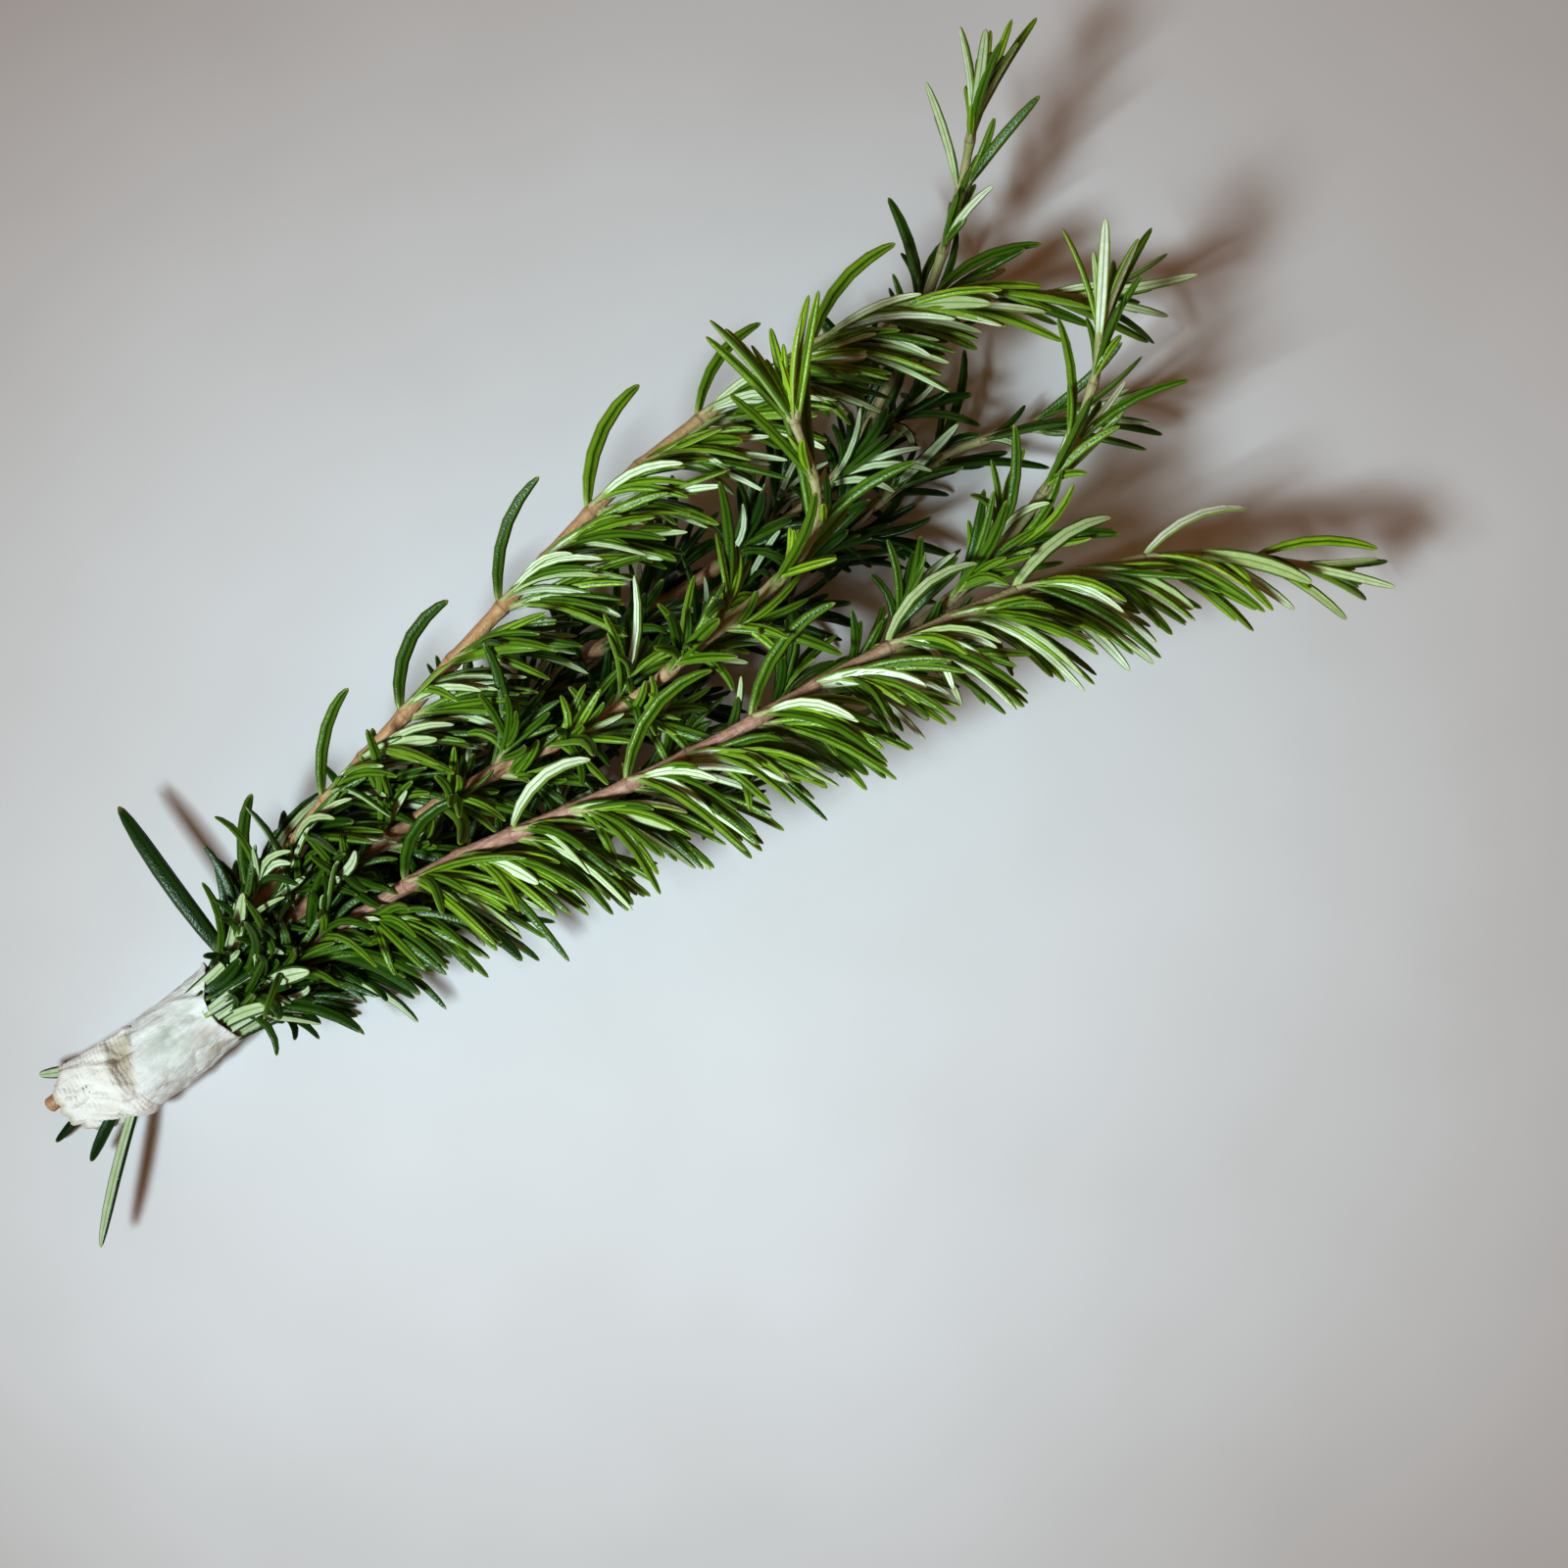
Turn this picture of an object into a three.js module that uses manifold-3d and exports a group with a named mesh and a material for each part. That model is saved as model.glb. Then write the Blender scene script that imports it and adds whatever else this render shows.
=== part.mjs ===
// A bunch of six cut rosemary sprigs lying on a table, their cut ends wrapped in a band of tissue paper.
// Millimetres, +Z up. +X runs along the bunch from the cut ends to the growing tips, and z = 0 is the table.
// The origin is on the table, under the middle of the bunch's box.
import * as THREE from 'three';
import { mergeVertices } from 'three/addons/utils/BufferGeometryUtils.js';
import Module from 'manifold-3d';

const wasm = await Module();
wasm.setup();

// ---- driving dimensions ----
const STEM_RADIUS = 1.55; // woody stem at the cut end
const TIP_RADIUS = 0.75; // green stem at the growing tip
const STEM_SIDES = 4; // young rosemary stems are square, with leaves on the flats
const STEM_STEP = 11; // length of one straight stretch of a stem
const LEAF_LENGTH = 25; // full-grown leaf in the middle of a sprig
const LEAF_WIDTH = 2.4;
const LEAF_DEPTH = 1.15;
const NODE_SPACING = 13; // between leaf pairs on the older stem
const TIP_SPACING = 9; // between leaf pairs near the tip
const SOFT_TIP = 60; // length of young growth, where leaves and spacing shrink
const BARE_LENGTH = 40; // stripped stem inside the wrap
const AXIL_RISE = 3; // how far up the stem a small leaf sits above its main leaf
const AXIL_SPREAD = 0.6; // how far round the stem it stands from it, in radians
const AXIL_LEAVES = 3; // a main leaf and one or two small leaves of the shoot in its axil
const SIDE_GAP = 0.35; // least air between neighbouring sprigs
const TABLE_GAP = 1.05; // lowest height of a leaf's middle line
const LEAF_STEPS = 12; // straight steps in a leaf's middle line
const SHORT_EDGE = 0.25; // joining leaves slivers behind, and edges below this length are closed up
const LEAST_AGREEMENT = 0.7; // cosine of the most that closing an edge may turn a face beside it

// ---- wrap ----
const WRAP_WALL = 0.8; // crumpled layers of tissue taken together
const WRAP_SIDES = 24;
const WRAP_MOUTH = -95; // edge that the foliage comes out of
const WRAP_TAIL = -130; // torn edge round the cut ends
const WRAP_STATIONS = 8;
const WRAP_HALF_WIDTH = 8.9;
const WRAP_HALF_HEIGHT = 8.3;
const WRAP_FLAT = 0.9; // how far the round section is pressed flat by the table

// ---- sprigs: hand-laid routes from the cut end to the growing tip ----
// lean says which way the leaves turn round the stem, how far, and how far their tips then bend that way.
// strays are the bent leaves by the cut end and the mouth.
const MIDDLE = new THREE.Vector3(-1.275, 1.425, 0); // where the middle of the bunch's box is among the routes
const sprigs = [
  {
    name: 'sprig_low_right',
    route: [
      [-129, -1.4, 3.2], [-94, -0.5, 3.6], [-70, -0.5, 6.5], [-44, 0.5, 9.5], [-13, 2, 11], [16, 3, 12],
      [42, 5, 12], [78, 8, 12], [92, 6, 13], [108, -0.5, 17],
    ],
    strays: [{ along: 2, tip: [-141, -5, 2] }],
  },
  {
    name: 'sprig_low_left',
    route: [
      [-137, 1.6, 4], [-94, 3.4, 5], [-70, 7, 9], [-44, 10, 12], [-14, 13, 13], [16, 14.5, 14],
      [45, 14.5, 14.5], [64, 16, 15], [89, 28.5, 18], [108, 42, 27], [119, 53, 39],
    ],
    strays: [{ along: 14, tip: [-134.5, 7.8, 5.5] }],
  },
  {
    name: 'sprig_under_right',
    route: [
      [-131, -5, 4.4], [-94, -4.4, 5.2], [-69, -7, 11], [-42, -10, 17], [-12, -13, 24], [19, -17, 30],
      [44, -18.5, 34], [69, -16.7, 38], [92, -10, 45], [106, -0.5, 50], [112, 7, 53],
    ],
    strays: [{ along: 8, tip: [-142.3, -27.8, 9] }],
  },
  {
    name: 'sprig_outer_left',
    route: [
      [-130, 2.5, 7.6], [-94, 3.2, 9.5], [-80, 8.5, 14], [-59, 16.5, 21], [-32, 22, 29], [0, 28.5, 35],
      [33, 34.7, 37], [71, 35.3, 36], [98, 29.6, 32], [121, 16, 26],
    ],
    lean: { side: [0.5, -0.86, 0], weight: 0.35, bend: 0.8 },
    strays: [{ along: 42, tip: [-89, 42, 12] }],
  },
  {
    name: 'sprig_over_right',
    route: [
      [-128, -4.6, 8.4], [-94, -4.2, 10], [-70, -3.5, 19], [-50, -4, 29], [-33, -6, 36], [-10, -11, 44],
      [15, -15, 49], [43.5, -17.7, 50], [70, -21.8, 47], [89, -27, 42], [109, -36.3, 37], [124.5, -49, 34],
    ],
    lean: { side: [0.1, -1, 0], weight: 0.5, bend: 1 },
    strays: [{ along: 5, tip: [-135.5, -12.5, 6] }],
  },
  {
    name: 'sprig_top',
    route: [
      [-130, -0.8, 9], [-94, -0.5, 11.6], [-66, 4.5, 19], [-43, 5.5, 26], [-22, 4, 33], [4, 0, 40],
      [26, 1, 47], [45, 2.7, 52.5], [54, 9, 57], [58, 23, 63],
    ],
    strays: [],
  },
];

// A repeatable draw between 0 and 1, named by what it is for.
function draw(...keys) {
  const weights = [12.9898, 78.233, 37.719, 4.581, 93.989];
  const mixed = Math.sin(keys.reduce((sum, key, i) => sum + (key + 1) * weights[i], 0)) * 43758.5453;
  return mixed - Math.floor(mixed);
}

const mix = (a, b, t) => a + (b - a) * t;
const placed = (point) => new THREE.Vector3(...point).sub(MIDDLE);

// Middle line of a stem: points, directions and a crosswise direction carried along without twist.
function stemLine(sprig) {
  const curve = new THREE.CatmullRomCurve3(sprig.route.map(placed), false, 'catmullrom', 0.5);
  curve.arcLengthDivisions = 400;
  const length = curve.getLength();
  const count = Math.round(length);
  const points = curve.getSpacedPoints(count);
  const lines = points.map((point, i) => {
    const along = points[Math.min(i + 1, count)].clone().sub(points[Math.max(i - 1, 0)]).normalize();
    return { point, along };
  });
  let across = new THREE.Vector3(0, 0, 1);
  for (const line of lines) {
    across = across.clone().addScaledVector(line.along, -across.dot(line.along)).normalize();
    line.across = across;
    line.beside = line.along.clone().cross(across);
  }
  const at = (distance) => lines[Math.round(THREE.MathUtils.clamp(distance / length, 0, 1) * count)];
  return { length, lines, at };
}

function stemRadius(line, distance) {
  const young = THREE.MathUtils.clamp((distance - BARE_LENGTH) / (line.length - BARE_LENGTH), 0, 1);
  return mix(STEM_RADIUS, TIP_RADIUS, young ** 1.5);
}

// Middle line of a leaf, grown step by step: it leaves the stem at one angle and arches back to another,
// and where it meets the table it lies along it.
function leafLine(leaf, fold, turn) {
  const { point: root, along, across, beside, radius } = leaf.seat;
  const azimuth = leaf.azimuth + turn;
  const outward = across.clone().multiplyScalar(Math.cos(azimuth)).addScaledVector(beside, Math.sin(azimuth));
  const step = leaf.length / LEAF_STEPS;
  const point = root.clone().addScaledVector(outward, radius * 0.2);
  const points = [point.clone()];
  for (let i = 0; i < LEAF_STEPS; i++) {
    const share = (i + 0.5) / LEAF_STEPS;
    const angle = mix(leaf.lift, leaf.arch, share) * fold;
    const heading = along.clone().multiplyScalar(Math.cos(angle)).addScaledVector(outward, Math.sin(angle));
    heading.addScaledVector(leaf.bend, share * fold).normalize();
    heading.z = Math.max(heading.z, (TABLE_GAP - point.z) / step);
    point.addScaledVector(heading.normalize(), step);
    points.push(point.clone());
  }
  return { points, side: along.clone().cross(outward).normalize(), radius: leaf.width / 2 };
}

// A stray leaf runs from its root to a stated tip, bowed a little upwards.
function strayLine(line, stray) {
  const seat = line.at(stray.along);
  const tip = placed(stray.tip);
  const reach = seat.point.distanceTo(tip);
  const points = [];
  for (let i = 0; i <= LEAF_STEPS; i++) {
    const t = i / LEAF_STEPS;
    const point = seat.point.clone().lerp(tip, t);
    point.z += Math.sin(Math.PI * t) * reach * 0.05;
    points.push(point);
  }
  const side = tip.clone().sub(seat.point).cross(new THREE.Vector3(0, 0, 1)).normalize();
  return { points, side, radius: LEAF_WIDTH / 2 };
}

// One leaf of a pair: place 0 is the main leaf, and the next places are the small leaves in its axil.
function grownLeaf(line, lean, node, half, place, toTip, roll) {
  const main = place === 0;
  const rooted = node.distance + place * AXIL_RISE;
  const seat = { ...line.at(rooted), radius: stemRadius(line, rooted) };
  const pair = (node.number % 2) * (Math.PI / 2) + half * Math.PI;
  const spread = main ? 0 : AXIL_SPREAD * (roll(3) < 0.5 ? -1 : 1);
  const azimuth = pair + mix(-0.2, 0.2, roll(2)) + spread;
  const side = new THREE.Vector3(...lean.side);
  const fromLean = azimuth - Math.atan2(side.dot(seat.beside), side.dot(seat.across));
  const away = lean.weight > 0 && -Math.cos(fromLean) > 0.5;
  if (!main && roll(6) < (away || place > 1 ? 0.5 : 0)) return null;
  const size = main ? mix(0.85, 1.08, roll(1)) : mix(0.4, 0.75, roll(1));
  return {
    seat,
    rank: place,
    azimuth: azimuth - lean.weight * Math.sin(fromLean),
    lift: mix(0.3, 0.6, roll(4)) * mix(0.6, 1, toTip),
    arch: mix(0.9, 1.5, roll(5)) * mix(0.4, 1, toTip),
    length: LEAF_LENGTH * size * mix(0.88, 1, toTip),
    width: LEAF_WIDTH * (main ? 1 : 0.85),
    bend: side.multiplyScalar(main && away ? 0 : lean.bend),
  };
}

// The leaves of one sprig: crossed pairs up the stem, closer and smaller towards the growing tip.
function sprigLeaves(sprig, number, line) {
  const leaves = [];
  const lean = sprig.lean ?? { side: [0, 0, 1], weight: 0, bend: 0 };
  const node = { number: 0, distance: BARE_LENGTH + 2 + 4 * draw(number, 0) };
  for (; node.distance < line.length - 1; node.number++) {
    const toTip = THREE.MathUtils.clamp((line.length - node.distance) / SOFT_TIP, 0, 1);
    for (const half of [0, 1]) {
      for (let place = 0; place < AXIL_LEAVES; place++) {
        const roll = (what) => draw(number, node.number, half, place, what);
        leaves.push(grownLeaf(line, lean, node, half, place, toTip, roll));
      }
    }
    node.distance += mix(TIP_SPACING, NODE_SPACING, toTip) * mix(0.9, 1.1, draw(number, node.number));
  }
  return leaves.filter((leaf) => leaf);
}

// Keeps each sprig's solids clear of the others'. Everything is a chain of balls.
const taken = [];

function takeSpace(owner, points, radius) {
  const middle = points[Math.floor(points.length / 2)];
  const reach = Math.max(...points.map((point) => point.distanceTo(middle))) + radius;
  taken.push({ owner, points, radius, middle, reach });
}

function isClear(owner, { points, radius }) {
  const middle = points[Math.floor(points.length / 2)];
  const reach = Math.max(...points.map((point) => point.distanceTo(middle))) + radius;
  for (const other of taken) {
    if (other.owner === owner || other.middle.distanceTo(middle) > other.reach + reach + SIDE_GAP) continue;
    const least = (other.radius + radius + SIDE_GAP) ** 2;
    for (const point of points) {
      for (const blocked of other.points) {
        if (point.distanceToSquared(blocked) < least) return false;
      }
    }
  }
  return true;
}

// Folds a leaf towards its own stem, then swings it round the stem, until it clears its neighbours.
function clearedLeaf(owner, leaf) {
  for (const fold of [1, 0.75, 0.5]) {
    for (const turn of [0, 0.4, -0.4, 0.8, -0.8]) {
      const line = leafLine(leaf, fold, turn);
      if (isClear(owner, line)) return line;
    }
  }
  return null;
}

// ---- solids ----
// Bends a cylinder or cone along a line: place(share of its length, crosswise x, crosswise z) puts a corner.
function bentShape(shape, place) {
  const corners = shape.getAttribute('position');
  for (let i = 0; i < corners.count; i++) {
    const point = place(corners.getY(i) + 0.5, corners.getX(i), corners.getZ(i));
    corners.setXYZ(i, point.x, point.y, point.z);
  }
  shape.deleteAttribute('normal');
  shape.deleteAttribute('uv');
  return mergeVertices(shape, 1e-4);
}

function toSolid(geometry) {
  return new wasm.Manifold(
    new wasm.Mesh({
      numProp: 3,
      vertProperties: new Float32Array(geometry.getAttribute('position').array),
      triVerts: new Uint32Array(geometry.index.array),
    }),
  );
}

function toGeometry(solid) {
  const mesh = solid.getMesh();
  const geometry = new THREE.BufferGeometry();
  geometry.setAttribute('position', new THREE.BufferAttribute(mesh.vertProperties, 3));
  geometry.setIndex(new THREE.BufferAttribute(mesh.triVerts, 1));
  return geometry;
}

// Closes up every edge shorter than the limit, unless a face beside it would turn far or the surface pinch.
function withoutSlivers(geometry) {
  const position = geometry.getAttribute('position');
  const corners = [];
  for (let i = 0; i < position.count; i++) corners.push(new THREE.Vector3().fromBufferAttribute(position, i));
  const around = corners.map(() => new Set());
  const faces = [];
  for (let i = 0; i < geometry.index.count; i += 3) {
    const face = [0, 1, 2].map((k) => geometry.index.getX(i + k));
    faces.push(face);
    face.forEach((corner) => around[corner].add(face));
  }

  const neighbours = (corner) => new Set([...around[corner]].flat());
  const normal = (face) => {
    const triangle = new THREE.Triangle(...face.map((corner) => corners[corner]));
    return triangle.getNormal(new THREE.Vector3());
  };
  const turnsFar = (face, from, to) => {
    const moved = face.map((corner) => (corner === from ? to : corner));
    return normal(face).dot(normal(moved)) < LEAST_AGREEMENT;
  };
  const mayClose = (from, to) => {
    if (corners[from].distanceTo(corners[to]) > SHORT_EDGE) return false;
    const near = neighbours(to);
    const shared = [...neighbours(from)].filter((corner) => near.has(corner));
    if (shared.length !== 4) return false; // the edge's own two ends and the two corners facing it
    return ![...around[from]].some((face) => !face.includes(to) && turnsFar(face, from, to));
  };
  const close = (from, to) => {
    for (const face of [...around[from]]) {
      if (face.includes(to)) {
        face.forEach((corner) => around[corner].delete(face));
        face.length = 0;
      } else {
        face[face.indexOf(from)] = to;
        around[to].add(face);
      }
    }
    around[from].clear();
  };

  for (let closed = 1; closed > 0; ) {
    closed = 0;
    for (const face of faces) {
      for (let k = 0; k < 3 && face.length > 0; k++) {
        const [from, to] = [face[k], face[(k + 1) % 3]];
        if (!mayClose(from, to)) continue;
        close(from, to);
        closed += 1;
      }
    }
  }
  const clean = new THREE.BufferGeometry();
  clean.setAttribute('position', position);
  clean.setIndex(faces.filter((face) => face.length > 0).flat());
  return mergeVertices(clean.toNonIndexed(), 1e-5);
}

function stemSolid(line) {
  const steps = Math.round(line.length / STEM_STEP);
  return toSolid(
    bentShape(new THREE.CylinderGeometry(1, 1, 1, STEM_SIDES, steps), (share, x, z) => {
      const seat = line.at(share * line.length);
      const radius = stemRadius(line, share * line.length) * 1.15;
      const [acrossShare, besideShare] = [(x + z) * Math.SQRT1_2, (x - z) * Math.SQRT1_2];
      return seat.point
        .clone()
        .addScaledVector(seat.across, acrossShare * radius)
        .addScaledVector(seat.beside, besideShare * radius);
    }),
  );
}

// A three-sided leaf: flat on top, keeled below, widest past the middle, with a short taper to the tip.
function leafSolid({ points, side, radius }, steps) {
  const rings = steps === 3 ? [0, 0.35, 0.82, 1] : [0, 0.65, 1];
  const widths = steps === 3 ? [0.5, 1, 0.9, 0] : [0.55, 1, 0];
  return toSolid(
    bentShape(new THREE.ConeGeometry(1, 1, 3, steps), (share, x, z) => {
      const ring = Math.round(share * steps);
      const here = rings[ring] * LEAF_STEPS;
      const low = Math.min(Math.floor(here), LEAF_STEPS - 1);
      const point = points[low].clone().lerp(points[low + 1], here - low);
      const along = points[low + 1].clone().sub(points[low]).normalize();
      const wide = side.clone().addScaledVector(along, -side.dot(along)).normalize();
      const keel = wide.clone().cross(along);
      const unit = ring === steps || Math.hypot(x, z) === 0 ? 0 : 1 / Math.hypot(x, z);
      const halfWidth = (widths[ring] * radius) / Math.sin(Math.PI / 3);
      return point
        .addScaledVector(wide, x * unit * halfWidth)
        .addScaledVector(keel, z * unit * widths[ring] * (LEAF_DEPTH / 1.5));
    }),
  );
}

// The wrap's tissue: a soft tube, pressed flat by the table, with torn and slanted edges.
function wrapShape() {
  const profile = [];
  for (let i = 0; i <= WRAP_STATIONS; i++) profile.push(new THREE.Vector2(1, i / WRAP_STATIONS));
  for (let i = WRAP_STATIONS; i >= 0; i--) profile.push(new THREE.Vector2(2, i / WRAP_STATIONS));
  profile.push(profile[0].clone());
  const shape = new THREE.LatheGeometry(profile, WRAP_SIDES);
  const corners = shape.getAttribute('position');
  for (let i = 0; i < corners.count; i++) {
    const angle = Math.atan2(corners.getZ(i), corners.getX(i));
    const outer = Math.hypot(corners.getX(i), corners.getZ(i)) > 1.5;
    const point = wrapPoint(angle, corners.getY(i), outer ? 0 : WRAP_WALL);
    corners.setXYZ(i, point.x, point.y, point.z);
  }
  shape.deleteAttribute('normal');
  shape.deleteAttribute('uv');
  return mergeVertices(shape, 1e-4);
}

// angle runs from the bunch's left side over the top; share runs from the torn tail to the mouth.
function wrapPoint(angle, share, depth) {
  const left = Math.cos(angle);
  const up = Math.sin(angle);
  const tail = WRAP_TAIL - 3 * up + 5 * Math.max(0, -left) + 1.5 * Math.sin(5 * angle);
  const flap = 9 * Math.max(0, -left * 0.75 - up * 0.65) ** 6;
  const mouth = WRAP_MOUTH + 1.2 * left + 0.8 * Math.sin(3 * angle) + flap;
  const x = mix(tail, mouth, share);
  const waist = Math.sin(Math.PI * share);
  const crumple = 0.35 * Math.sin(4 * angle + 3 * share) * (1 - share);
  const halfWidth = WRAP_HALF_WIDTH * (1 + 0.04 * waist) + crumple - depth;
  const halfHeight = WRAP_HALF_HEIGHT * mix(0.82, 1, share) + 0.3 * Math.sin(3 * angle + 2 * share) - depth;
  const middleY = -1 - 1.6 * waist;
  const middleZ = WRAP_HALF_HEIGHT * mix(0.82, 1, share) - WRAP_FLAT;
  return placed([x, middleY + halfWidth * left, Math.max(depth, middleZ + halfHeight * up)]);
}

// ---- build ----
const leafGreen = new THREE.MeshStandardMaterial({ color: 0x4f7a2a, roughness: 0.55, metalness: 0 });
const tissueWhite = new THREE.MeshStandardMaterial({ color: 0xdcdcd6, roughness: 0.9, metalness: 0 });

const lines = sprigs.map(stemLine);
lines.forEach((line, number) => {
  takeSpace(number, line.lines.map((seat) => seat.point), STEM_RADIUS);
});

const leafLines = sprigs.map(() => []);
sprigs.forEach((sprig, number) => {
  for (const stray of sprig.strays) {
    const line = strayLine(lines[number], stray);
    takeSpace(number, line.points, line.radius);
    leafLines[number].push({ ...line, rank: 0 });
  }
});
const allLeaves = lines.map((line, number) => sprigLeaves(sprigs[number], number, line));
for (let rank = 0; rank < AXIL_LEAVES; rank++) {
  allLeaves.forEach((leaves, number) => {
    for (const leaf of leaves.filter((each) => each.rank === rank)) {
      const line = clearedLeaf(number, leaf);
      if (!line) continue;
      takeSpace(number, line.points, line.radius);
      leafLines[number].push({ ...line, rank });
    }
  });
}

const bunch = new THREE.Group();
sprigs.forEach((sprig, number) => {
  const solids = leafLines[number].map((line) => leafSolid(line, line.rank === 0 ? 3 : 2));
  const whole = solids.reduce((sum, leaf) => sum.add(leaf), stemSolid(lines[number]));
  const mesh = new THREE.Mesh(withoutSlivers(toGeometry(whole)), leafGreen);
  mesh.name = sprig.name;
  bunch.add(mesh);
});

const wrap = new THREE.Mesh(wrapShape(), tissueWhite);
wrap.name = 'paper_wrap';
bunch.add(wrap);

export default bunch;
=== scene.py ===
"""Looks of a bunch of rosemary: stems, leaves and the tissue wrap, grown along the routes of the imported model."""

import math
from dataclasses import dataclass, field

import bpy
import numpy as np
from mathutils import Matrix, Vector, noise


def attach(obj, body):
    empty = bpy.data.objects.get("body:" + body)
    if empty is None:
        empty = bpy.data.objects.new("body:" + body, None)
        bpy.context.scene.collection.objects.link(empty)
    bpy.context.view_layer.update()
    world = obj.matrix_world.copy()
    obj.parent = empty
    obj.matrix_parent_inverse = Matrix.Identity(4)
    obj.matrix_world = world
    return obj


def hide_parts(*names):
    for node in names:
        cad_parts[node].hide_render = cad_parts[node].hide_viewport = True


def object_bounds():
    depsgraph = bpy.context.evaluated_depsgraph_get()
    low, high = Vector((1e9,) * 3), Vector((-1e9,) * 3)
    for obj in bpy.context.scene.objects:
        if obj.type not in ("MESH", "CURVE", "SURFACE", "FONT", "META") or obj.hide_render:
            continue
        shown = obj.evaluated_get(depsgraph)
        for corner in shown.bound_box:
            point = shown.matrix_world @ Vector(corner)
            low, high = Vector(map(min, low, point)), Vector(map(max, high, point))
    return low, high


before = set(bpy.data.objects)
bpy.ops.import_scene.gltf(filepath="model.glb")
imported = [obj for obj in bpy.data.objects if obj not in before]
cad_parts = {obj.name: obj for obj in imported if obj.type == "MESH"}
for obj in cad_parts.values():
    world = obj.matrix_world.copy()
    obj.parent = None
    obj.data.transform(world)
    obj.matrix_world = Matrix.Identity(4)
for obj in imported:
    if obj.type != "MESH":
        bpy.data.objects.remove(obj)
CAD_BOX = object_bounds()

# ---- driving dimensions, in millimetres as the routes are; meshes are made in metres ----
MM = 0.001
UP = np.array([0.0, 0.0, 1.0])
LOW, HIGH = (np.array(corner) / MM for corner in CAD_BOX)  # corners of the model's box
MIDDLE = np.array([-1.275, 1.425, 0.0])  # where the middle of the bunch's box is among the routes

STEM_RADIUS = 1.45  # woody stem at the cut end
TIP_RADIUS = 0.75  # green stem at the growing tip
SWELLING = 0.24  # how much thicker a stem is where a leaf pair sits
SWELLING_REACH = 1.3
YOUNG_FROM = 60.0  # from the cut end, where the bark starts to turn green
ROUTE_STEPS = 40  # between two points of a sprig's route
LEAF_LENGTH = 25.0
LEAF_WIDTH = 2.0
MAIN_WIDTH = 2.45  # of the two larger leaves at each node
CROWN_WIDTH = 3.4  # of those on top of a leaning sprig, which show their white side
LEAF_STEPS = 12
LEAF_STATIONS = (0, 0.08, 0.22, 0.4, 0.6, 0.78, 0.91, 0.975, 1)  # sections along a leaf, as shares of its length
NODE_SPACING = 13.0
TIP_SPACING = 9.0
SOFT_TIP = 60.0  # length over which the leaves get smaller and younger towards the tip
BARE_LENGTH = 40.0  # of a stem within the wrap
HIDDEN_NODES = 2  # within the wrap, whose leaves come out of its mouth
HIDDEN_SPACING = 8.0
AXIL_LEAVES = 12  # on the short shoot in the axil of each main leaf
FAR_AXIL_LEAVES = 8  # on the side that a leaning sprig turns away from, whose leaves cross over the stem
MOUTH_LEAVES = 110  # pressed together in the mouth of the wrap
GRIP_MARGIN = 6.0  # past the wrap, where its grip on the leaves starts to wear off
GRIP_REACH = 30.0
SHOOT_TILT = 0.55
SHOOT_START = 1.0
SHOOT_STEP = 0.5
SHOOT_RADIUS = 0.55
CURLED = 0.26  # share of the small leaves that curl back over
TIP_LEAVES = 8  # the smallest ones, round the growing point
TABLE_GAP = 0.52  # of a leaf's middle line over the table, as a share of its width
PAINTED_SHADE_HEIGHT = 40.0  # below it the leaves are painted darker and less fresh, as painted shade deep in the bunch
MOST_CROWDING = 0.5  # share of a leaf that may lie in a neighbour's room
EDGE_ROOM = 0.8  # that a leaf's middle line keeps from the sides of the box
TURN_STEP = 2.4  # between leaves that stand round a middle, near the golden angle

# what each draw of a leaf is for
DRAWS = {
    "length": 1, "seat": 2, "around": 3, "lift": 4, "arch": 5, "width": 7,
    "tint": 8, "turn": 9, "sway": 10, "sweep": 11, "side": 12, "curl": 13,
}
MOUTH_DRAWS = 50
TIP_DRAWS = 99

WRAP_MOUTH = -95.0
WRAP_TAIL = -130.0
WRAP_HALF_WIDTH = 8.9
WRAP_HALF_HEIGHT = 8.3
WRAP_FLAT = 0.9  # how far its underside is pressed flat
BAND_END = -2.43  # angle of the loose outer edge of the band, low on the right
BAND_TURNS = 1.2
PAPER_THICKNESS = 0.12

CAMERA_HEIGHT = 350.0
SEEN_WIDTH = 320.0  # of the table, across the picture
SENSOR_WIDTH = 36.0
CAMERA_TURN = math.radians(34.2)  # the bunch lies slanting across the picture
CAMERA_PLACE = (22.0, -28.0)
TABLE_RADIUS = 0.34  # in metres
TABLE_CORNERS = 96


@dataclass
class Sprig:
    """One sprig: its route from the cut end to the growing tip, and how its leaves turn."""

    name: str
    route: list
    hue: float  # stem colour, from 0 tan to 1 purple-brown
    lean: tuple = (0, 0, 1)
    weight: float = 0.0  # how far the leaves turn towards the lean where they leave the stem
    sweep: float = 0.0  # how far they bend over towards it
    fresh: float = 0.0  # how bright its leaves are all along, from 0 dark to 1 yellow-green
    spread: float = 1.0  # how far the leaves stand off the stem
    pale: float = 0.1  # share of leaves that show their white underside
    far_pale: float = 0.0  # share of the main leaves on the far side that do
    size: float = 0.85  # length of the small leaves against a main leaf
    strays: list = field(default_factory=list)  # (distance from the cut end, tip, width, turn of its upper side)


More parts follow.
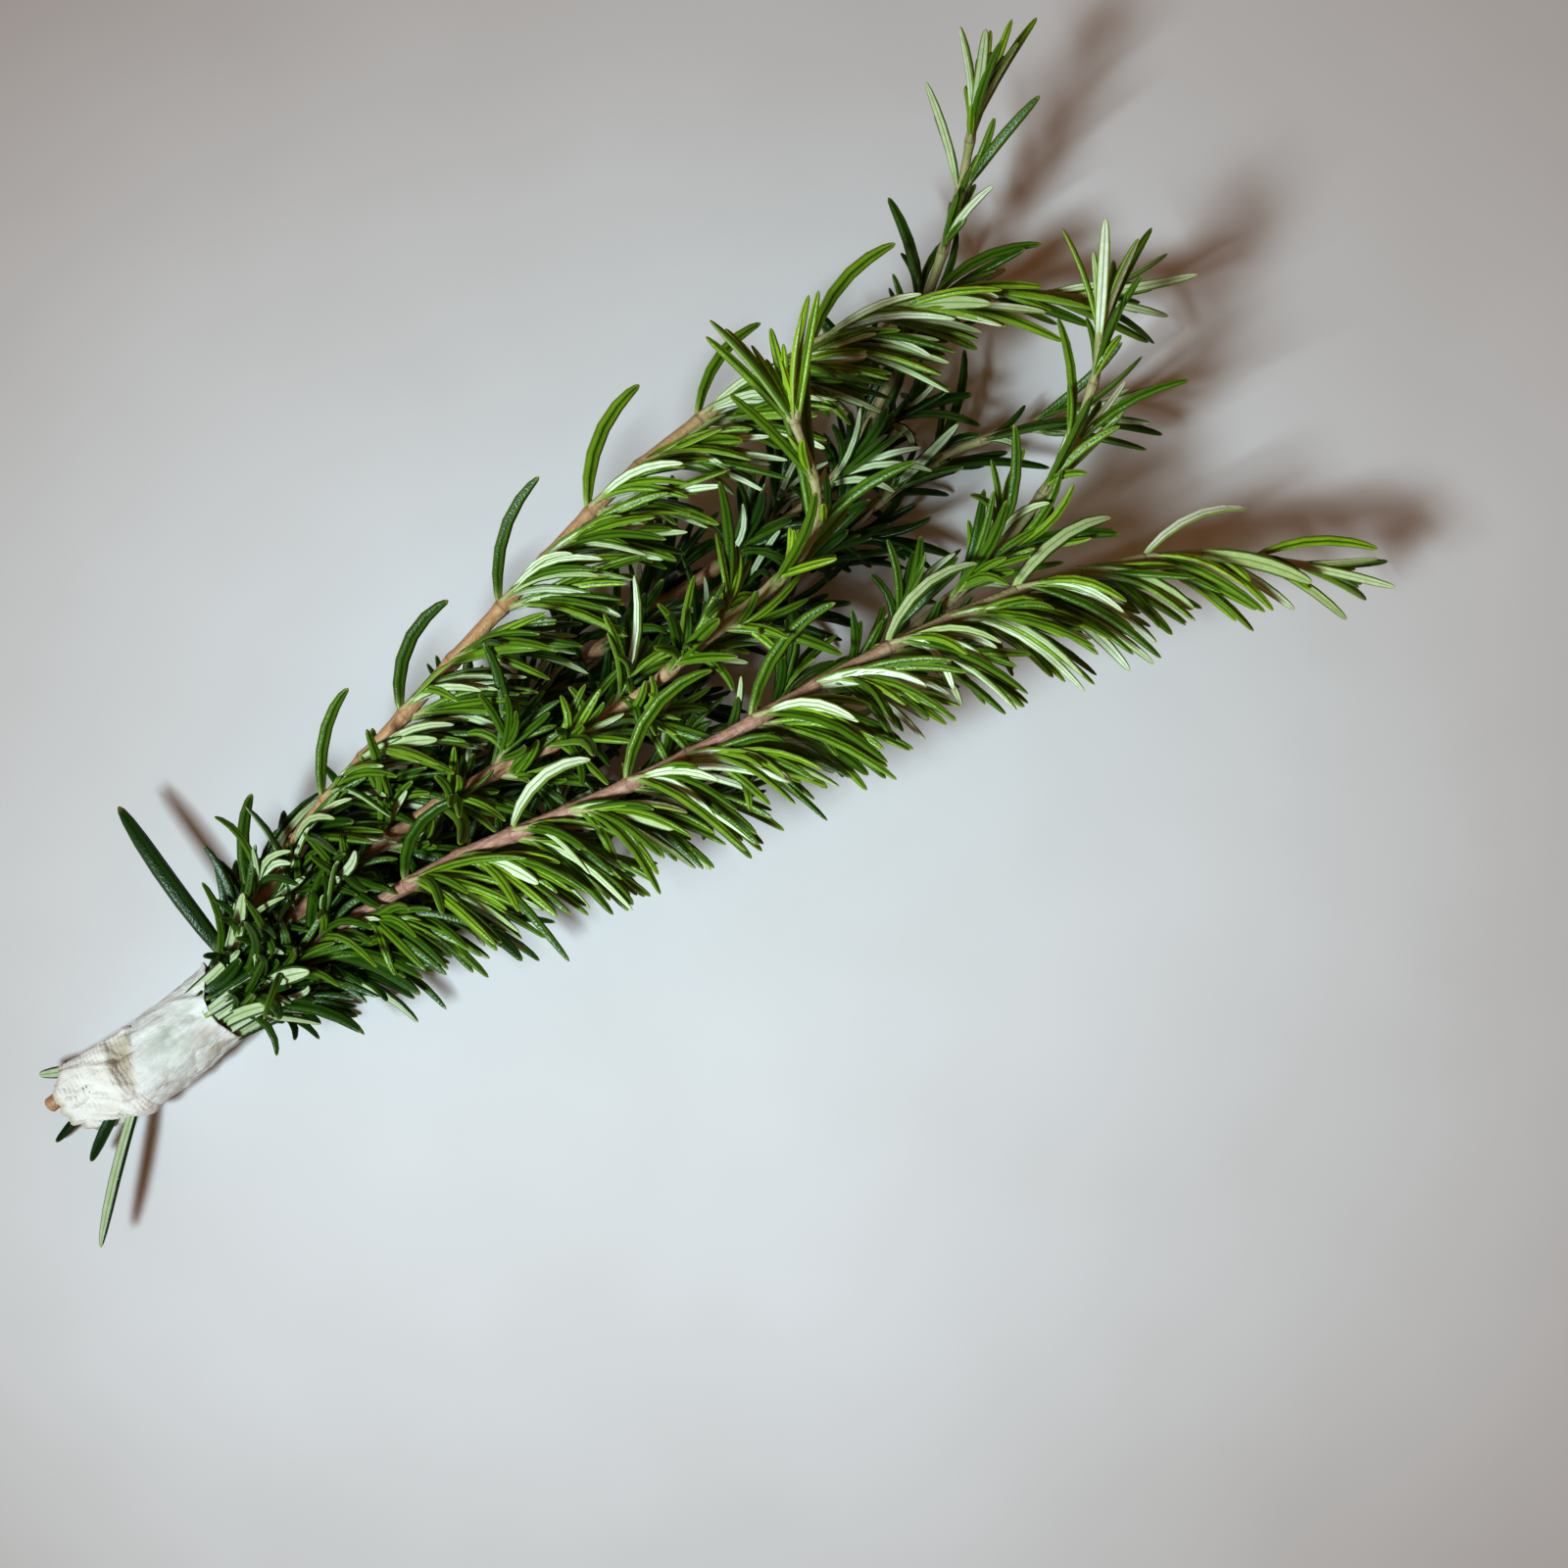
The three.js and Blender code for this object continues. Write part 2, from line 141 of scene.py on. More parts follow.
SPRIGS = [
    Sprig(
        "sprig_low_right",
        [
            (-129, -1.4, 3.2), (-94, -0.5, 3.6), (-70, -0.5, 6.5), (-44, 0.5, 9.5), (-13, 2, 11),
            (16, 3, 12), (42, 5, 12), (78, 8, 12), (92, 6, 13), (108, -0.5, 17),
        ],
        hue=0.5, fresh=0.05, strays=[(5, (-141, -5, 2), 2.3, 0.3)],
    ),
    Sprig(
        "sprig_low_left",
        [
            (-137, 1.6, 4), (-94, 3.4, 5), (-70, 7, 9), (-44, 10, 12), (-14, 13, 13), (16, 14.5, 14),
            (45, 14.5, 14.5), (64, 16, 15), (89, 28.5, 18), (108, 42, 27), (119, 53, 39),
        ],
        hue=0.4, fresh=0.25, pale=0.12, strays=[(14, (-134.5, 7.8, 5.5), 2.6, 3.1)],
    ),
    Sprig(
        "sprig_under_right",
        [
            (-131, -5, 4.4), (-94, -4.4, 5.2), (-69, -7, 11), (-42, -10, 17), (-12, -13, 24),
            (19, -17, 30), (44, -18.5, 34), (69, -16.7, 38), (92, -10, 45), (106, -0.5, 50), (112, 7, 53),
        ],
        hue=0.45, fresh=0.3, spread=0.85, pale=0.12, strays=[(13, (-142.1, -27.8, 9), 2.7, 3.5)],
    ),
    Sprig(
        "sprig_outer_left",
        [
            (-130, 2.5, 7.6), (-94, 3.2, 9.5), (-80, 8.5, 14), (-59, 16.5, 21), (-32, 22, 29),
            (0, 28.5, 35), (33, 34.7, 37), (71, 35.3, 36), (98, 29.6, 32), (121, 16, 26),
        ],
        hue=0.2, lean=(0.5, -0.86, 0), weight=0.5, sweep=1.5, fresh=0.5, pale=0.26, size=1.0,
        strays=[(42, (-89, 42, 12), 3.6, 0.2)],
    ),
    Sprig(
        "sprig_over_right",
        [
            (-128, -4.6, 8.4), (-94, -4.2, 10), (-70, -3.5, 19), (-50, -4, 29), (-33, -6, 36),
            (-10, -11, 44), (15, -15, 49), (43.5, -17.7, 50), (70, -21.8, 47), (89, -27, 42),
            (109, -36.3, 37), (124.5, -49, 34),
        ],
        hue=1.0, lean=(0.1, -1, 0), weight=0.5, sweep=1.8, fresh=0.55, pale=0.14, far_pale=0.3, size=1.05,
        strays=[(8, (-135.5, -12.5, 6), 2.4, -0.3)],
    ),
    Sprig(
        "sprig_top",
        [
            (-130, -0.8, 9), (-94, -0.5, 11.6), (-66, 4.5, 19), (-43, 5.5, 26), (-22, 4, 33),
            (4, 0, 40), (26, 1, 47), (45, 2.7, 52.5), (54, 9, 57), (58, 23, 63),
        ],
        hue=0.55, fresh=0.4, spread=1.8, pale=0.05, size=0.66,
    ),
]


# ---- small helpers ----
def draw(*keys):
    """A repeatable draw between 0 and 1, named by what it is for."""
    weights = (12.9898, 78.233, 37.719, 4.581, 93.989)
    mixed = math.sin(sum((key + 1) * weight for key, weight in zip(keys, weights))) * 43758.5453
    return mixed - math.floor(mixed)


def mix(a, b, t):
    return a + (b - a) * t


def clamp(value):
    return max(0.0, min(1.0, value))


def unit(vector):
    return vector / np.linalg.norm(vector)


def swung(start, other, angle):
    """A direction swung by an angle from one direction to another that is square to it."""
    return start * math.cos(angle) + other * math.sin(angle)


def placed(point):
    """A point of the routes, in the model's frame."""
    return np.array(point, float) - MIDDLE


def read_off(where, run, points):
    """Points of a line at other places along it."""
    return np.stack([np.interp(where, run, column) for column in points.T], axis=1)


# ---- stems ----
class StemLine:
    """Middle line of a stem, a millimetre a step, with a crosswise direction carried along without twist."""

    def __init__(self, route):
        corners = [placed(point) for point in route]
        corners = [2 * corners[0] - corners[1], *corners, 2 * corners[-1] - corners[-2]]
        fine = [corners[1]]
        for before, start, end, after in zip(corners, corners[1:], corners[2:], corners[3:]):
            for share in np.linspace(0, 1, ROUTE_STEPS + 1)[1:]:
                fine.append(self.between(before, start, end, after, share))
        fine = np.array(fine)
        run = np.concatenate([[0], np.cumsum(np.linalg.norm(np.diff(fine, axis=0), axis=1))])
        self.length = run[-1]
        self.count = round(self.length)
        even = np.linspace(0, self.length, self.count + 1)
        self.points = read_off(even, run, fine)
        padded = np.concatenate([self.points[:1], self.points, self.points[-1:]])
        self.along = np.array([unit(step) for step in padded[2:] - padded[:-2]])
        self.across = []
        across = UP
        for along in self.along:
            across = unit(across - along * across.dot(along))
            self.across.append(across)
        self.across = np.array(self.across)
        self.beside = np.cross(self.along, self.across)

    @staticmethod
    def between(before, start, end, after, share):
        """A point of the Catmull-Rom curve between start and end."""
        leaving, arriving = (end - before) / 2, (after - start) / 2
        bend = 3 * (end - start) - 2 * leaving - arriving
        twist = 2 * (start - end) + leaving + arriving
        return start + share * (leaving + share * (bend + share * twist))

    def at(self, distance):
        """The number of the point at a distance from the cut end."""
        return round(clamp(distance / self.length) * self.count)

    def radius(self, distance):
        young = clamp((distance - BARE_LENGTH) / (self.length - BARE_LENGTH))
        return mix(STEM_RADIUS, TIP_RADIUS, young**1.5)


# ---- leaves ----
@dataclass
class Leaf:
    root: np.ndarray
    axis: np.ndarray  # the way its stem or shoot grows
    outward: np.ndarray  # away from that axis
    lift: float  # angle from the axis at the root
    arch: float  # angle from the axis at the tip
    length: float
    width: float
    rank: int = 0  # 0 for a main leaf, and higher for those of its axil
    youth: float = 0.0  # from 0 old and dark to 1 young and bright
    tint: float = 0.5  # from 0 the palest of its kind to 1 the darkest
    twist: float = 0.0  # share of the way that its upper side turns to the sky, or below 0 its white underside
    sway: float = 0.0  # how far it bends sideways
    sweep: tuple = (0, 0, 0)  # what bends it over more and more towards its tip


def leaf_line(leaf, fold=1.0, turn=0.0):
    """Middle line of a leaf, and the way its upper side faces. It lies down where it meets the table."""
    outward = swung(leaf.outward, np.cross(leaf.axis, leaf.outward), turn)
    side = np.cross(leaf.axis, outward)
    shares = (np.arange(LEAF_STEPS) + 0.5)[:, None] / LEAF_STEPS
    angles = mix(leaf.lift, leaf.arch, shares) * fold
    headings = leaf.axis * np.cos(angles) + outward * np.sin(angles)
    headings += side * leaf.sway * shares**1.5 + np.array(leaf.sweep) * shares**2
    headings /= np.linalg.norm(headings, axis=1)[:, None]
    points = leaf.root + np.concatenate([np.zeros((1, 3)), np.cumsum(headings, axis=0)]) * leaf.length / LEAF_STEPS
    points[:, 2] = np.maximum(points[:, 2], TABLE_GAP * leaf.width)
    faces = np.cross(headings, side)
    faces /= np.linalg.norm(faces, axis=1)[:, None]
    sky = UP - headings * headings[:, 2:]
    turned = np.arctan2((np.cross(faces, sky) * headings).sum(axis=1), (faces * sky).sum(axis=1))[:, None]
    if leaf.twist < 0:
        turned -= np.copysign(np.pi, turned)
    turned *= abs(leaf.twist) * mix(0.5, 1, np.clip(shares / 0.35, 0, 1))
    faces = faces * np.cos(turned) + np.cross(headings, faces) * np.sin(turned)
    return points, np.concatenate([faces, faces[-1:]])


def stray_line(start, tip, turn):
    """A stray leaf runs from its root to a stated tip, bowed a little, its upper side turned from the sky."""
    shares = np.linspace(0, 1, LEAF_STEPS + 1)[:, None]
    reach = np.linalg.norm(tip - start)
    points = start + (tip - start) * shares + UP * np.sin(np.pi * shares) * reach * 0.05
    heading = unit(tip - start)
    face = unit(UP - heading * UP.dot(heading))
    face = swung(face, np.cross(heading, face), turn)
    return points, np.repeat(face[None], LEAF_STEPS + 1, axis=0)


def sky_turn(share_white, chance, amount):
    """Most leaves turn their upper side to the sky. The others show their white underside."""
    return mix(-1.0, -0.35, amount) if chance < share_white else mix(0.6, 1.05, amount)


class Axil:
    """The seat of one leaf of a crossed pair, and of the short shoot above that leaf."""

    def __init__(self, number, line, distance, node, half):
        self.sprig = sprig = SPRIGS[number]
        self.keys = number, node, half
        seat = line.at(distance)
        self.point, self.stem, self.radius = line.points[seat], line.along[seat], line.radius(distance)
        azimuth = (node % 2) * math.pi / 2 + half * math.pi + self.roller(0)("seat", -0.2, 0.2)
        self.outward = swung(line.across[seat], line.beside[seat], azimuth)
        self.away = sprig.weight > 0 and self.outward.dot(sprig.lean) < -0.5
        self.to_tip = clamp((line.length - distance) / SOFT_TIP)
        self.freed = clamp((distance - BARE_LENGTH - GRIP_MARGIN) / GRIP_REACH)
        self.youth = sprig.fresh + (1 - self.to_tip) * 0.7
        self.sweep = np.array(sprig.lean, float) * sprig.sweep * self.freed

    def roller(self, place):
        """Draws for one of its leaves, each named by what it is for and laid between two values."""
        return lambda what, low=0, high=1: mix(low, high, draw(*self.keys, place, DRAWS[what]))

    def leaning(self, outward):
        """The way a leaf bends, turned from its own side of the stem towards the sprig's lean."""
        weight = self.sprig.weight * self.freed
        return unit(outward * (1 - weight) + np.array(self.sprig.lean, float) * weight + UP * 0.12 * weight)

    def main_leaf(self):
        """One of the two larger leaves of a node. On a leaning sprig the one on top bends over, white side out."""
        sprig, roll, to_tip = self.sprig, self.roller(0), self.to_tip
        crown = sprig.weight > 0 and self.outward.dot(UP) > 0.6
        pale = 0.7 if crown else sprig.far_pale if self.away else sprig.pale
        if self.away:
            lift, arch, sweep = roll("lift", 0.75, 1.0), roll("arch", -0.1, 0.3), 0.25
        else:
            lift = roll("lift", 0.3, 0.6) * min(sprig.spread, 1.3)
            arch = roll("arch", 0.9, 1.5) * mix(0.5, 1, to_tip) * (0.6 if crown else 1)
            sweep = roll("sweep", 0.5, 1.4)
        return Leaf(
            root=self.point + self.outward * self.radius * 0.6,
            axis=self.stem,
            outward=self.outward if self.away else self.leaning(self.outward),
            lift=lift * mix(0.6, 1, to_tip),
            arch=arch,
            length=LEAF_LENGTH * roll("length", 0.88, 1.08) * mix(0.85, 1, to_tip) * (0.85 if crown else 1),
            width=(CROWN_WIDTH if crown else MAIN_WIDTH) * roll("width", 0.9, 1.1) * mix(0.75, 1, to_tip),
            youth=clamp(self.youth),
            tint=roll("tint"),
            twist=sky_turn(pale, roll("side"), roll("turn")),
            sway=roll("sway", -0.4, 0.4),
            sweep=self.sweep * sweep,
        )

    def small_leaves(self):
        """The small leaves in crossed pairs up the short shoot, and the two ends of that shoot."""
        sprig, to_tip = self.sprig, self.to_tip
        outward = unit(self.outward + UP * 0.9) if self.away else self.outward
        shoot = unit(swung(self.stem, self.leaning(outward), SHOOT_TILT * mix(0.5, 1, self.freed)))
        face = unit(outward - shoot * outward.dot(shoot))
        edge = np.cross(shoot, face)
        base = self.point + outward * self.radius * 0.7 + self.stem * 0.6
        count = round(mix(1, FAR_AXIL_LEAVES if self.away else AXIL_LEAVES, to_tip**3.2))
        leaves = []
        for place in range(1, count + 1):
            roll, inner = self.roller(place), place / count
            around = (place % 2) * math.pi + (place // 2) * math.pi / 2 + roll("around", -0.5, 0.5)
            curl = 2.0 if roll("curl") < CURLED else 1
            arch = roll("arch", 0.45, 1.5) * mix(1, 0.7, inner) * mix(0.6, 1, to_tip)
            length = LEAF_LENGTH * roll("length", 0.72, 1.08) * mix(1, 0.65, inner**2) * mix(0.85, 1, to_tip)
            leaves.append(Leaf(
                root=base + shoot * (SHOOT_START + SHOOT_STEP * place) * mix(0.7, 1, to_tip),
                axis=shoot,
                outward=self.leaning(swung(face, edge, around)),
                lift=roll("lift", 0.1, 0.6) * mix(1, 0.6, inner) * sprig.spread * mix(0.6, 1, self.freed),
                arch=arch * min(sprig.spread, 1.1) * curl,
                length=length * sprig.size / curl**0.5,
                width=LEAF_WIDTH * roll("width", 0.78, 1) * mix(1, 0.85, inner),
                rank=place,
                youth=clamp(self.youth + 0.25 * inner),
                tint=roll("tint"),
                twist=sky_turn(sprig.pale + (0.25 if self.away else 0), roll("side"), roll("turn")),
                sway=roll("sway", -0.7, 0.7),
                sweep=self.sweep * roll("sweep", 0.4, 1.6),
            ))
        return leaves, (base, base + shoot * (SHOOT_START + SHOOT_STEP * count))


def mouth_leaves():
    """Leaves pressed together in the mouth of the wrap, many of them with their white side out."""
    for place in range(MOUTH_LEAVES):
        depth, arch, length, width, youth, tint, side, turn, sway = (
            draw(MOUTH_DRAWS, place, what) for what in range(1, 10)
        )
        around = place * TURN_STEP
        reach = 0.83 * math.sqrt(mix(0.25, 1, (place + 0.5) / MOUTH_LEAVES))
        left, up = math.cos(around), math.sin(around)
        y = -1.5 + left * reach * WRAP_HALF_WIDTH
        z = WRAP_HALF_HEIGHT - WRAP_FLAT + up * reach * WRAP_HALF_HEIGHT
        yield Leaf(
            root=placed((WRAP_MOUTH + mix(-4, 3, depth), y, z)),
            axis=np.array([1.0, 0, 0]),
            outward=np.array([0, left, up]),
            lift=0.02, arch=mix(0.1, 0.7, arch), length=mix(14, 23, length), width=mix(2.2, 3.1, width),
            youth=mix(0, 0.35, youth), tint=tint * 0.6,
            twist=sky_turn(0.8 if left < 0.2 else 0.35, side, turn),
            sway=mix(-0.2, 0.2, sway),
        )


def tip_leaves(line, number):
    """The smallest leaves, standing close round the growing point."""
    for place in range(TIP_LEAVES):
        small = place / TIP_LEAVES
        yield Leaf(
            root=line.points[-1] - line.along[-1] * mix(2.5, 0.2, small),
            axis=line.along[-1],
            outward=swung(line.across[-1], line.beside[-1], place * TURN_STEP),
            lift=mix(0.3, 0.05, small), arch=mix(0.75, 0.25, small), length=mix(23, 8, small),
            width=mix(2.1, 1.4, small), rank=1, youth=1.0, tint=draw(number, TIP_DRAWS, place),
        )


def grow(number, line):
    """All leaves of a sprig, its short shoots and the places of its nodes, from the wrap to the growing tip."""
    leaves, shoots, nodes = [], [], []
    distance = BARE_LENGTH + 2 + 4 * draw(number, 0) - HIDDEN_NODES * HIDDEN_SPACING
    node = -HIDDEN_NODES
    while distance < line.length - 1:
        nodes.append(distance)
        for half in (0, 1):
            axil = Axil(number, line, distance, node, half)
            small, shoot = axil.small_leaves()
            leaves += [axil.main_leaf(), *small]
            shoots.append((distance, shoot))
        spacing = mix(TIP_SPACING, NODE_SPACING, axil.to_tip) * mix(0.9, 1.1, draw(number, node))
        distance += HIDDEN_SPACING if node < 0 else spacing
        node += 1
    leaves += tip_leaves(line, number)
    return leaves, shoots, nodes


# ---- room between leaves ----
class Room:
    """The bunch's box in small cubes, with the number of the sprig that fills each one."""

    CUBE = 0.8

    def __init__(self):
        self.low = LOW - 2
        size = (HIGH + 2 - self.low) / self.CUBE
        self.owner = np.zeros(np.ceil(size).astype(int) + 1, np.int8)

    def cubes(self, points):
        """The cubes that points lie in, as an index into the owners."""
        inside = np.floor((points - self.low) / self.CUBE).astype(int)
        return tuple(np.clip(inside, 0, np.array(self.owner.shape) - 1).T)

    def take(self, number, points, radius):
        """Gives a sprig all cubes within a radius of the points."""
        steps = math.ceil(radius / self.CUBE)
        reach = np.arange(-steps, steps + 1) * self.CUBE
        around = np.stack(np.meshgrid(reach, reach, reach), axis=-1).reshape(-1, 3)
        around = around[np.linalg.norm(around, axis=1) <= radius]
        self.owner[self.cubes((points[:, None] + around).reshape(-1, 3))] = number + 1

    def crowding(self, number, points):
        """Share of the points that are in something's room. A leaf may start close to its own stem."""
        met = self.owner[self.cubes(points)]
        start = met[: len(points) // 3]
        start[start == number + 1] = 0
        return np.count_nonzero(met) / len(points)


def out_of_bounds(points):
    """Whether points reach out of the box, or through the wrap from inside it."""
    if (points < LOW + [EDGE_ROOM, EDGE_ROOM, EDGE_ROOM / 2]).any() or (points > HIGH - EDGE_ROOM).any():
        return True
    inside = points[points[:, 0] < WRAP_MOUTH - MIDDLE[0] + 3]
    reach = (inside[:, 1:] - [-2 - MIDDLE[1], WRAP_HALF_HEIGHT - WRAP_FLAT]) / (WRAP_HALF_WIDTH, WRAP_HALF_HEIGHT)
    return bool((np.linalg.norm(reach, axis=1) > 0.88).any())


def settle(room, number, leaf):
    """Tries the leaf as grown, then folded towards its axis and swung round it, and keeps the freest line."""
    best, least = None, MOST_CROWDING
    for fold in (1, 0.75, 0.5, 0.25, 0.1):
        for turn in (0, 0.4, -0.4, 0.8, -0.8):
            points, faces = leaf_line(leaf, fold, turn)
            if out_of_bounds(points):
                continue
            crowding = room.crowding(number, points)
            if crowding < least:
                best, least = (points, faces), crowding
            if crowding == 0:
                return best
    return best


# ---- node trees ----
class Tree:
    """A node tree being built. Each call adds one node and gives back its output, to feed into others."""

    def __init__(self, tree, inputs=None, result=None):
        """Inputs are named with their default, or with their kind if they have none."""
        self.tree = tree
        if result is None:
            return
        for label, given in inputs.items():
            kind = given if isinstance(given, str) else type(given).__name__.title()
            made = tree.interface.new_socket(label, in_out="INPUT", socket_type="NodeSocket" + kind)
            if kind != given:
                made.default_value = given
        tree.interface.new_socket(result[0], in_out="OUTPUT", socket_type="NodeSocket" + result[1])
        self.given = tree.nodes.new("NodeGroupInput").outputs
        self.result = tree.nodes.new("NodeGroupOutput").inputs[0]

    def add(self, kind, inputs=None, out=0, **settings):
        """A kind is named without what all kinds start with."""
        start = "GeometryNode" if hasattr(bpy.types, "GeometryNode" + kind) else "ShaderNode"
        node = self.tree.nodes.new(start + kind)
        for key, value in settings.items():
            setattr(node, key, value)
        for key, value in (inputs or {}).items():
            if value is not None:
                self.put(self.socket(node.inputs, key), value)
        return self.socket(node.outputs, out)

    @staticmethod
    def socket(sockets, key):
        if isinstance(key, int):
            return [s for s in sockets if s.enabled][key]
        return next(s for s in sockets if s.enabled and s.name == key)

    def put(self, socket, value):
        if isinstance(value, bpy.types.NodeSocket):
            self.tree.links.new(value, socket)
        else:
            socket.default_value = (*value, 1) if socket.type == "RGBA" else value

    def math(self, operation, a, b=None):
        return self.add("Math", {0: a, 1: b}, operation=operation)

    def times(self, a, b):
        return self.math("MULTIPLY", a, b)

    def curve(self, factor, heights, smooth=True):
        """Reads the factor off a line through points of (share, height)."""
        value = self.add("FloatCurve", {"Value": factor})
        mapping = value.node.mapping
        mapping.clip_min_y, mapping.use_clip = -1.0, False
        line = mapping.curves[0]
        line.points[0].location, line.points[1].location = heights[0], heights[-1]
        for share, height in heights[1:-1]:
            line.points.new(share, height)
        for point in line.points:
            point.handle_type = "AUTO" if smooth else "VECTOR"
        mapping.update()
        return value

    def blend(self, share, colour, other):
        """One colour changing to another as the share goes from 0 to 1."""
        return self.add("Mix", {"Factor": share, "A": colour, "B": other}, data_type="RGBA", out="Result")

    def blend_value(self, share, value, other):
        return self.add("Mix", {"Factor": share, "A": value, "B": other}, out="Result")

    def between(self, value, start, end):
        """0 up to the start, 1 from the end on, and smooth between them."""
        return self.add(
            "MapRange",
            {"Value": value, "From Min": start, "From Max": end},
            interpolation_type="SMOOTHSTEP",
        )

    def group(self, group, inputs):
        """Places a shader group, feeds its named inputs and gives back its one output."""
        node = self.tree.nodes.new("ShaderNodeGroup")
        node.node_tree = group
        for key, value in inputs.items():
            self.put(node.inputs[key], value)
        return node.outputs[0]

    def attribute(self, name):
        return self.add("Attribute", attribute_name=name, out="Fac")

    def named(self, name, kind="FLOAT"):
        return self.add("InputNamedAttribute", {"Name": name}, data_type=kind)

    def store(self, geometry, name, value, kind="FLOAT"):
        return self.add(
            "StoreNamedAttribute",
            {"Geometry": geometry, "Name": name, "Value": value},
            data_type=kind,
            domain="POINT",
        )


# ---- chains: the middle lines that leaves and stems are grown on ----
class Chains:
    """Many middle lines in one mesh of edges, with the values that the node trees and materials read."""

    def __init__(self, values):
        self.points, self.edges = [], []
        self.values = {name: [] for name in values}

    def add(self, points, **values):
        first = len(self.points)
        self.points += [tuple(point * MM) for point in points]
        self.edges += [(first + k, first + k + 1) for k in range(len(points) - 1)]
        for name, stored in self.values.items():
            given = values[name]
            stored += list(given) if np.ndim(given) else [given] * len(points)

    def mesh(self, name):
        return mesh_of(name, self.points, self.edges, [], self.values)


def mesh_of(name, points, edges, faces, values):
    """A mesh with values kept on its points under their names."""
    mesh = bpy.data.meshes.new(name)
    mesh.from_pydata(points, edges, faces)
    for key, stored in values.items():
        kind, part = ("FLOAT_VECTOR", "vector") if np.ndim(stored) == 2 else ("FLOAT", "value")
        mesh.attributes.new(key, kind, "POINT").data.foreach_set(part, np.ravel(stored))
    return mesh


def add_leaf(chains, points, faces, width, youth, tint):
    """Keeps a leaf's line at its few stations, which lie closer towards the blunt tip. Low leaves get painted shade:
    they are made darker and less fresh.
    """
    # painted shade: the lower a leaf lies, the darker and the less fresh it is made
    low = 1 - clamp(points[:, 2].mean() / PAINTED_SHADE_HEIGHT)
    where = np.array(LEAF_STATIONS) * (len(points) - 1)
    chains.add(
        read_off(where, range(len(points)), points),
        face_up=read_off(where, range(len(points)), faces),
        half_width=width / 2 * MM,
        along=LEAF_STATIONS,
        youth=youth * (1 - 0.7 * low),
        tint=mix(tint, 1.35, 0.95 * low),
    )


def add_stem(chains, sprig, line, nodes):
    """The stem from its bevelled cut end to its tip, thicker where a pair of leaves sits."""
    distances = np.linspace(0, line.length, line.count + 1)
    scars = np.zeros_like(distances)
    for node in nodes:
        scars = np.maximum(scars, np.exp(-(((distances - node) / SWELLING_REACH) ** 2)))
    radii = np.array([line.radius(distance) for distance in distances])
    radii *= 1 + SWELLING * scars
    youth = np.clip((distances - YOUNG_FROM) / (line.length - YOUNG_FROM), 0, 1)
    points = np.concatenate([line.points[:1] - line.along[:1] * 0.05, line.points])
    chains.add(
        points,
        radius=np.insert(radii, 0, radii[0] * 0.93) * MM,
        youth=np.insert(youth, 0, youth[0]),
        scar=np.insert(scars, 0, scars[0]),
        cut=np.insert(np.zeros_like(distances), 0, 1),
        hue=sprig.hue,
        run=np.insert(distances, 0, 0),
    )


def add_shoot(chains, sprig, line, distance, shoot):
    """The short shoot that the small leaves of an axil stand on."""
    base, end = shoot
    chains.add(
        np.linspace(base, end, 4),
        radius=np.array([1.2, 1, 0.85, 0.5]) * SHOOT_RADIUS * MM,
        youth=clamp(distance / line.length + 0.35),
        scar=0.0,
        cut=0.0,
        hue=sprig.hue,
        run=np.arange(4.0),
    )


# ---- geometry node trees ----
def leaf_tree():
    """Sweeps a leaf's section along each line: a groove above, and rolled margins round a hollow below."""
    tree = Tree(
        bpy.data.node_groups.new("rosemary leaf", "GeometryNodeTree"),
        {"Lines": "Geometry", "Ridge height": 0.42, "Rolled margin": 0.68, "Material": "Material"},
        ("Leaves", "Geometry"),
    )
    corners = 10
    circle = tree.add("CurvePrimitiveCircle", {"Resolution": corners, "Radius": 1.0})
    share = tree.math("DIVIDE", tree.add("InputIndex"), corners)
    across = [0, 0.55, 1, 0.78, 0.42, 0, -0.42, -0.78, -1, -0.55, 0]
    ridge = [0, 1, 0, 0, 0, 0, 0, 0, 0, 1, 0]
    margin = [0, 0, 0.5, 1, 0.6, 0.85, 0.6, 1, 0.5, 0, 0]
    felt = [0, 0, 0, 1, 1, 1, 1, 1, 0, 0, 0]
    sides = [
        tree.curve(share, [(k / corners, value) for k, value in enumerate(values)], smooth=False)
        for values in (across, ridge, margin, felt)
    ]
    above = tree.times(sides[1], tree.given["Ridge height"])
    below = tree.times(sides[2], tree.given["Rolled margin"])
    height = tree.math("ADD", tree.math("SUBTRACT", above, below), 0.1)
    section = tree.add(
        "SetPosition",
        {"Geometry": circle, "Position": tree.add("CombineXYZ", {"X": height, "Y": sides[0]})},
    )
    section = tree.store(section, "across", sides[0])
    section = tree.store(section, "under", sides[3])
    line = tree.add("MeshToCurve", {"Mesh": tree.given["Lines"]})
    line = tree.add("SetCurveNormal", {"Curve": line, "Normal": tree.named("face_up", "FLOAT_VECTOR")}, mode="FREE")
    widths = (0.5, 0.74, 0.93, 1, 0.98, 0.88, 0.66, 0.42, 0.14)
    outline = list(zip(LEAF_STATIONS, widths))
    width = tree.times(tree.named("half_width"), tree.curve(tree.named("along"), outline))
    return sweep_of(tree, line, section, width)


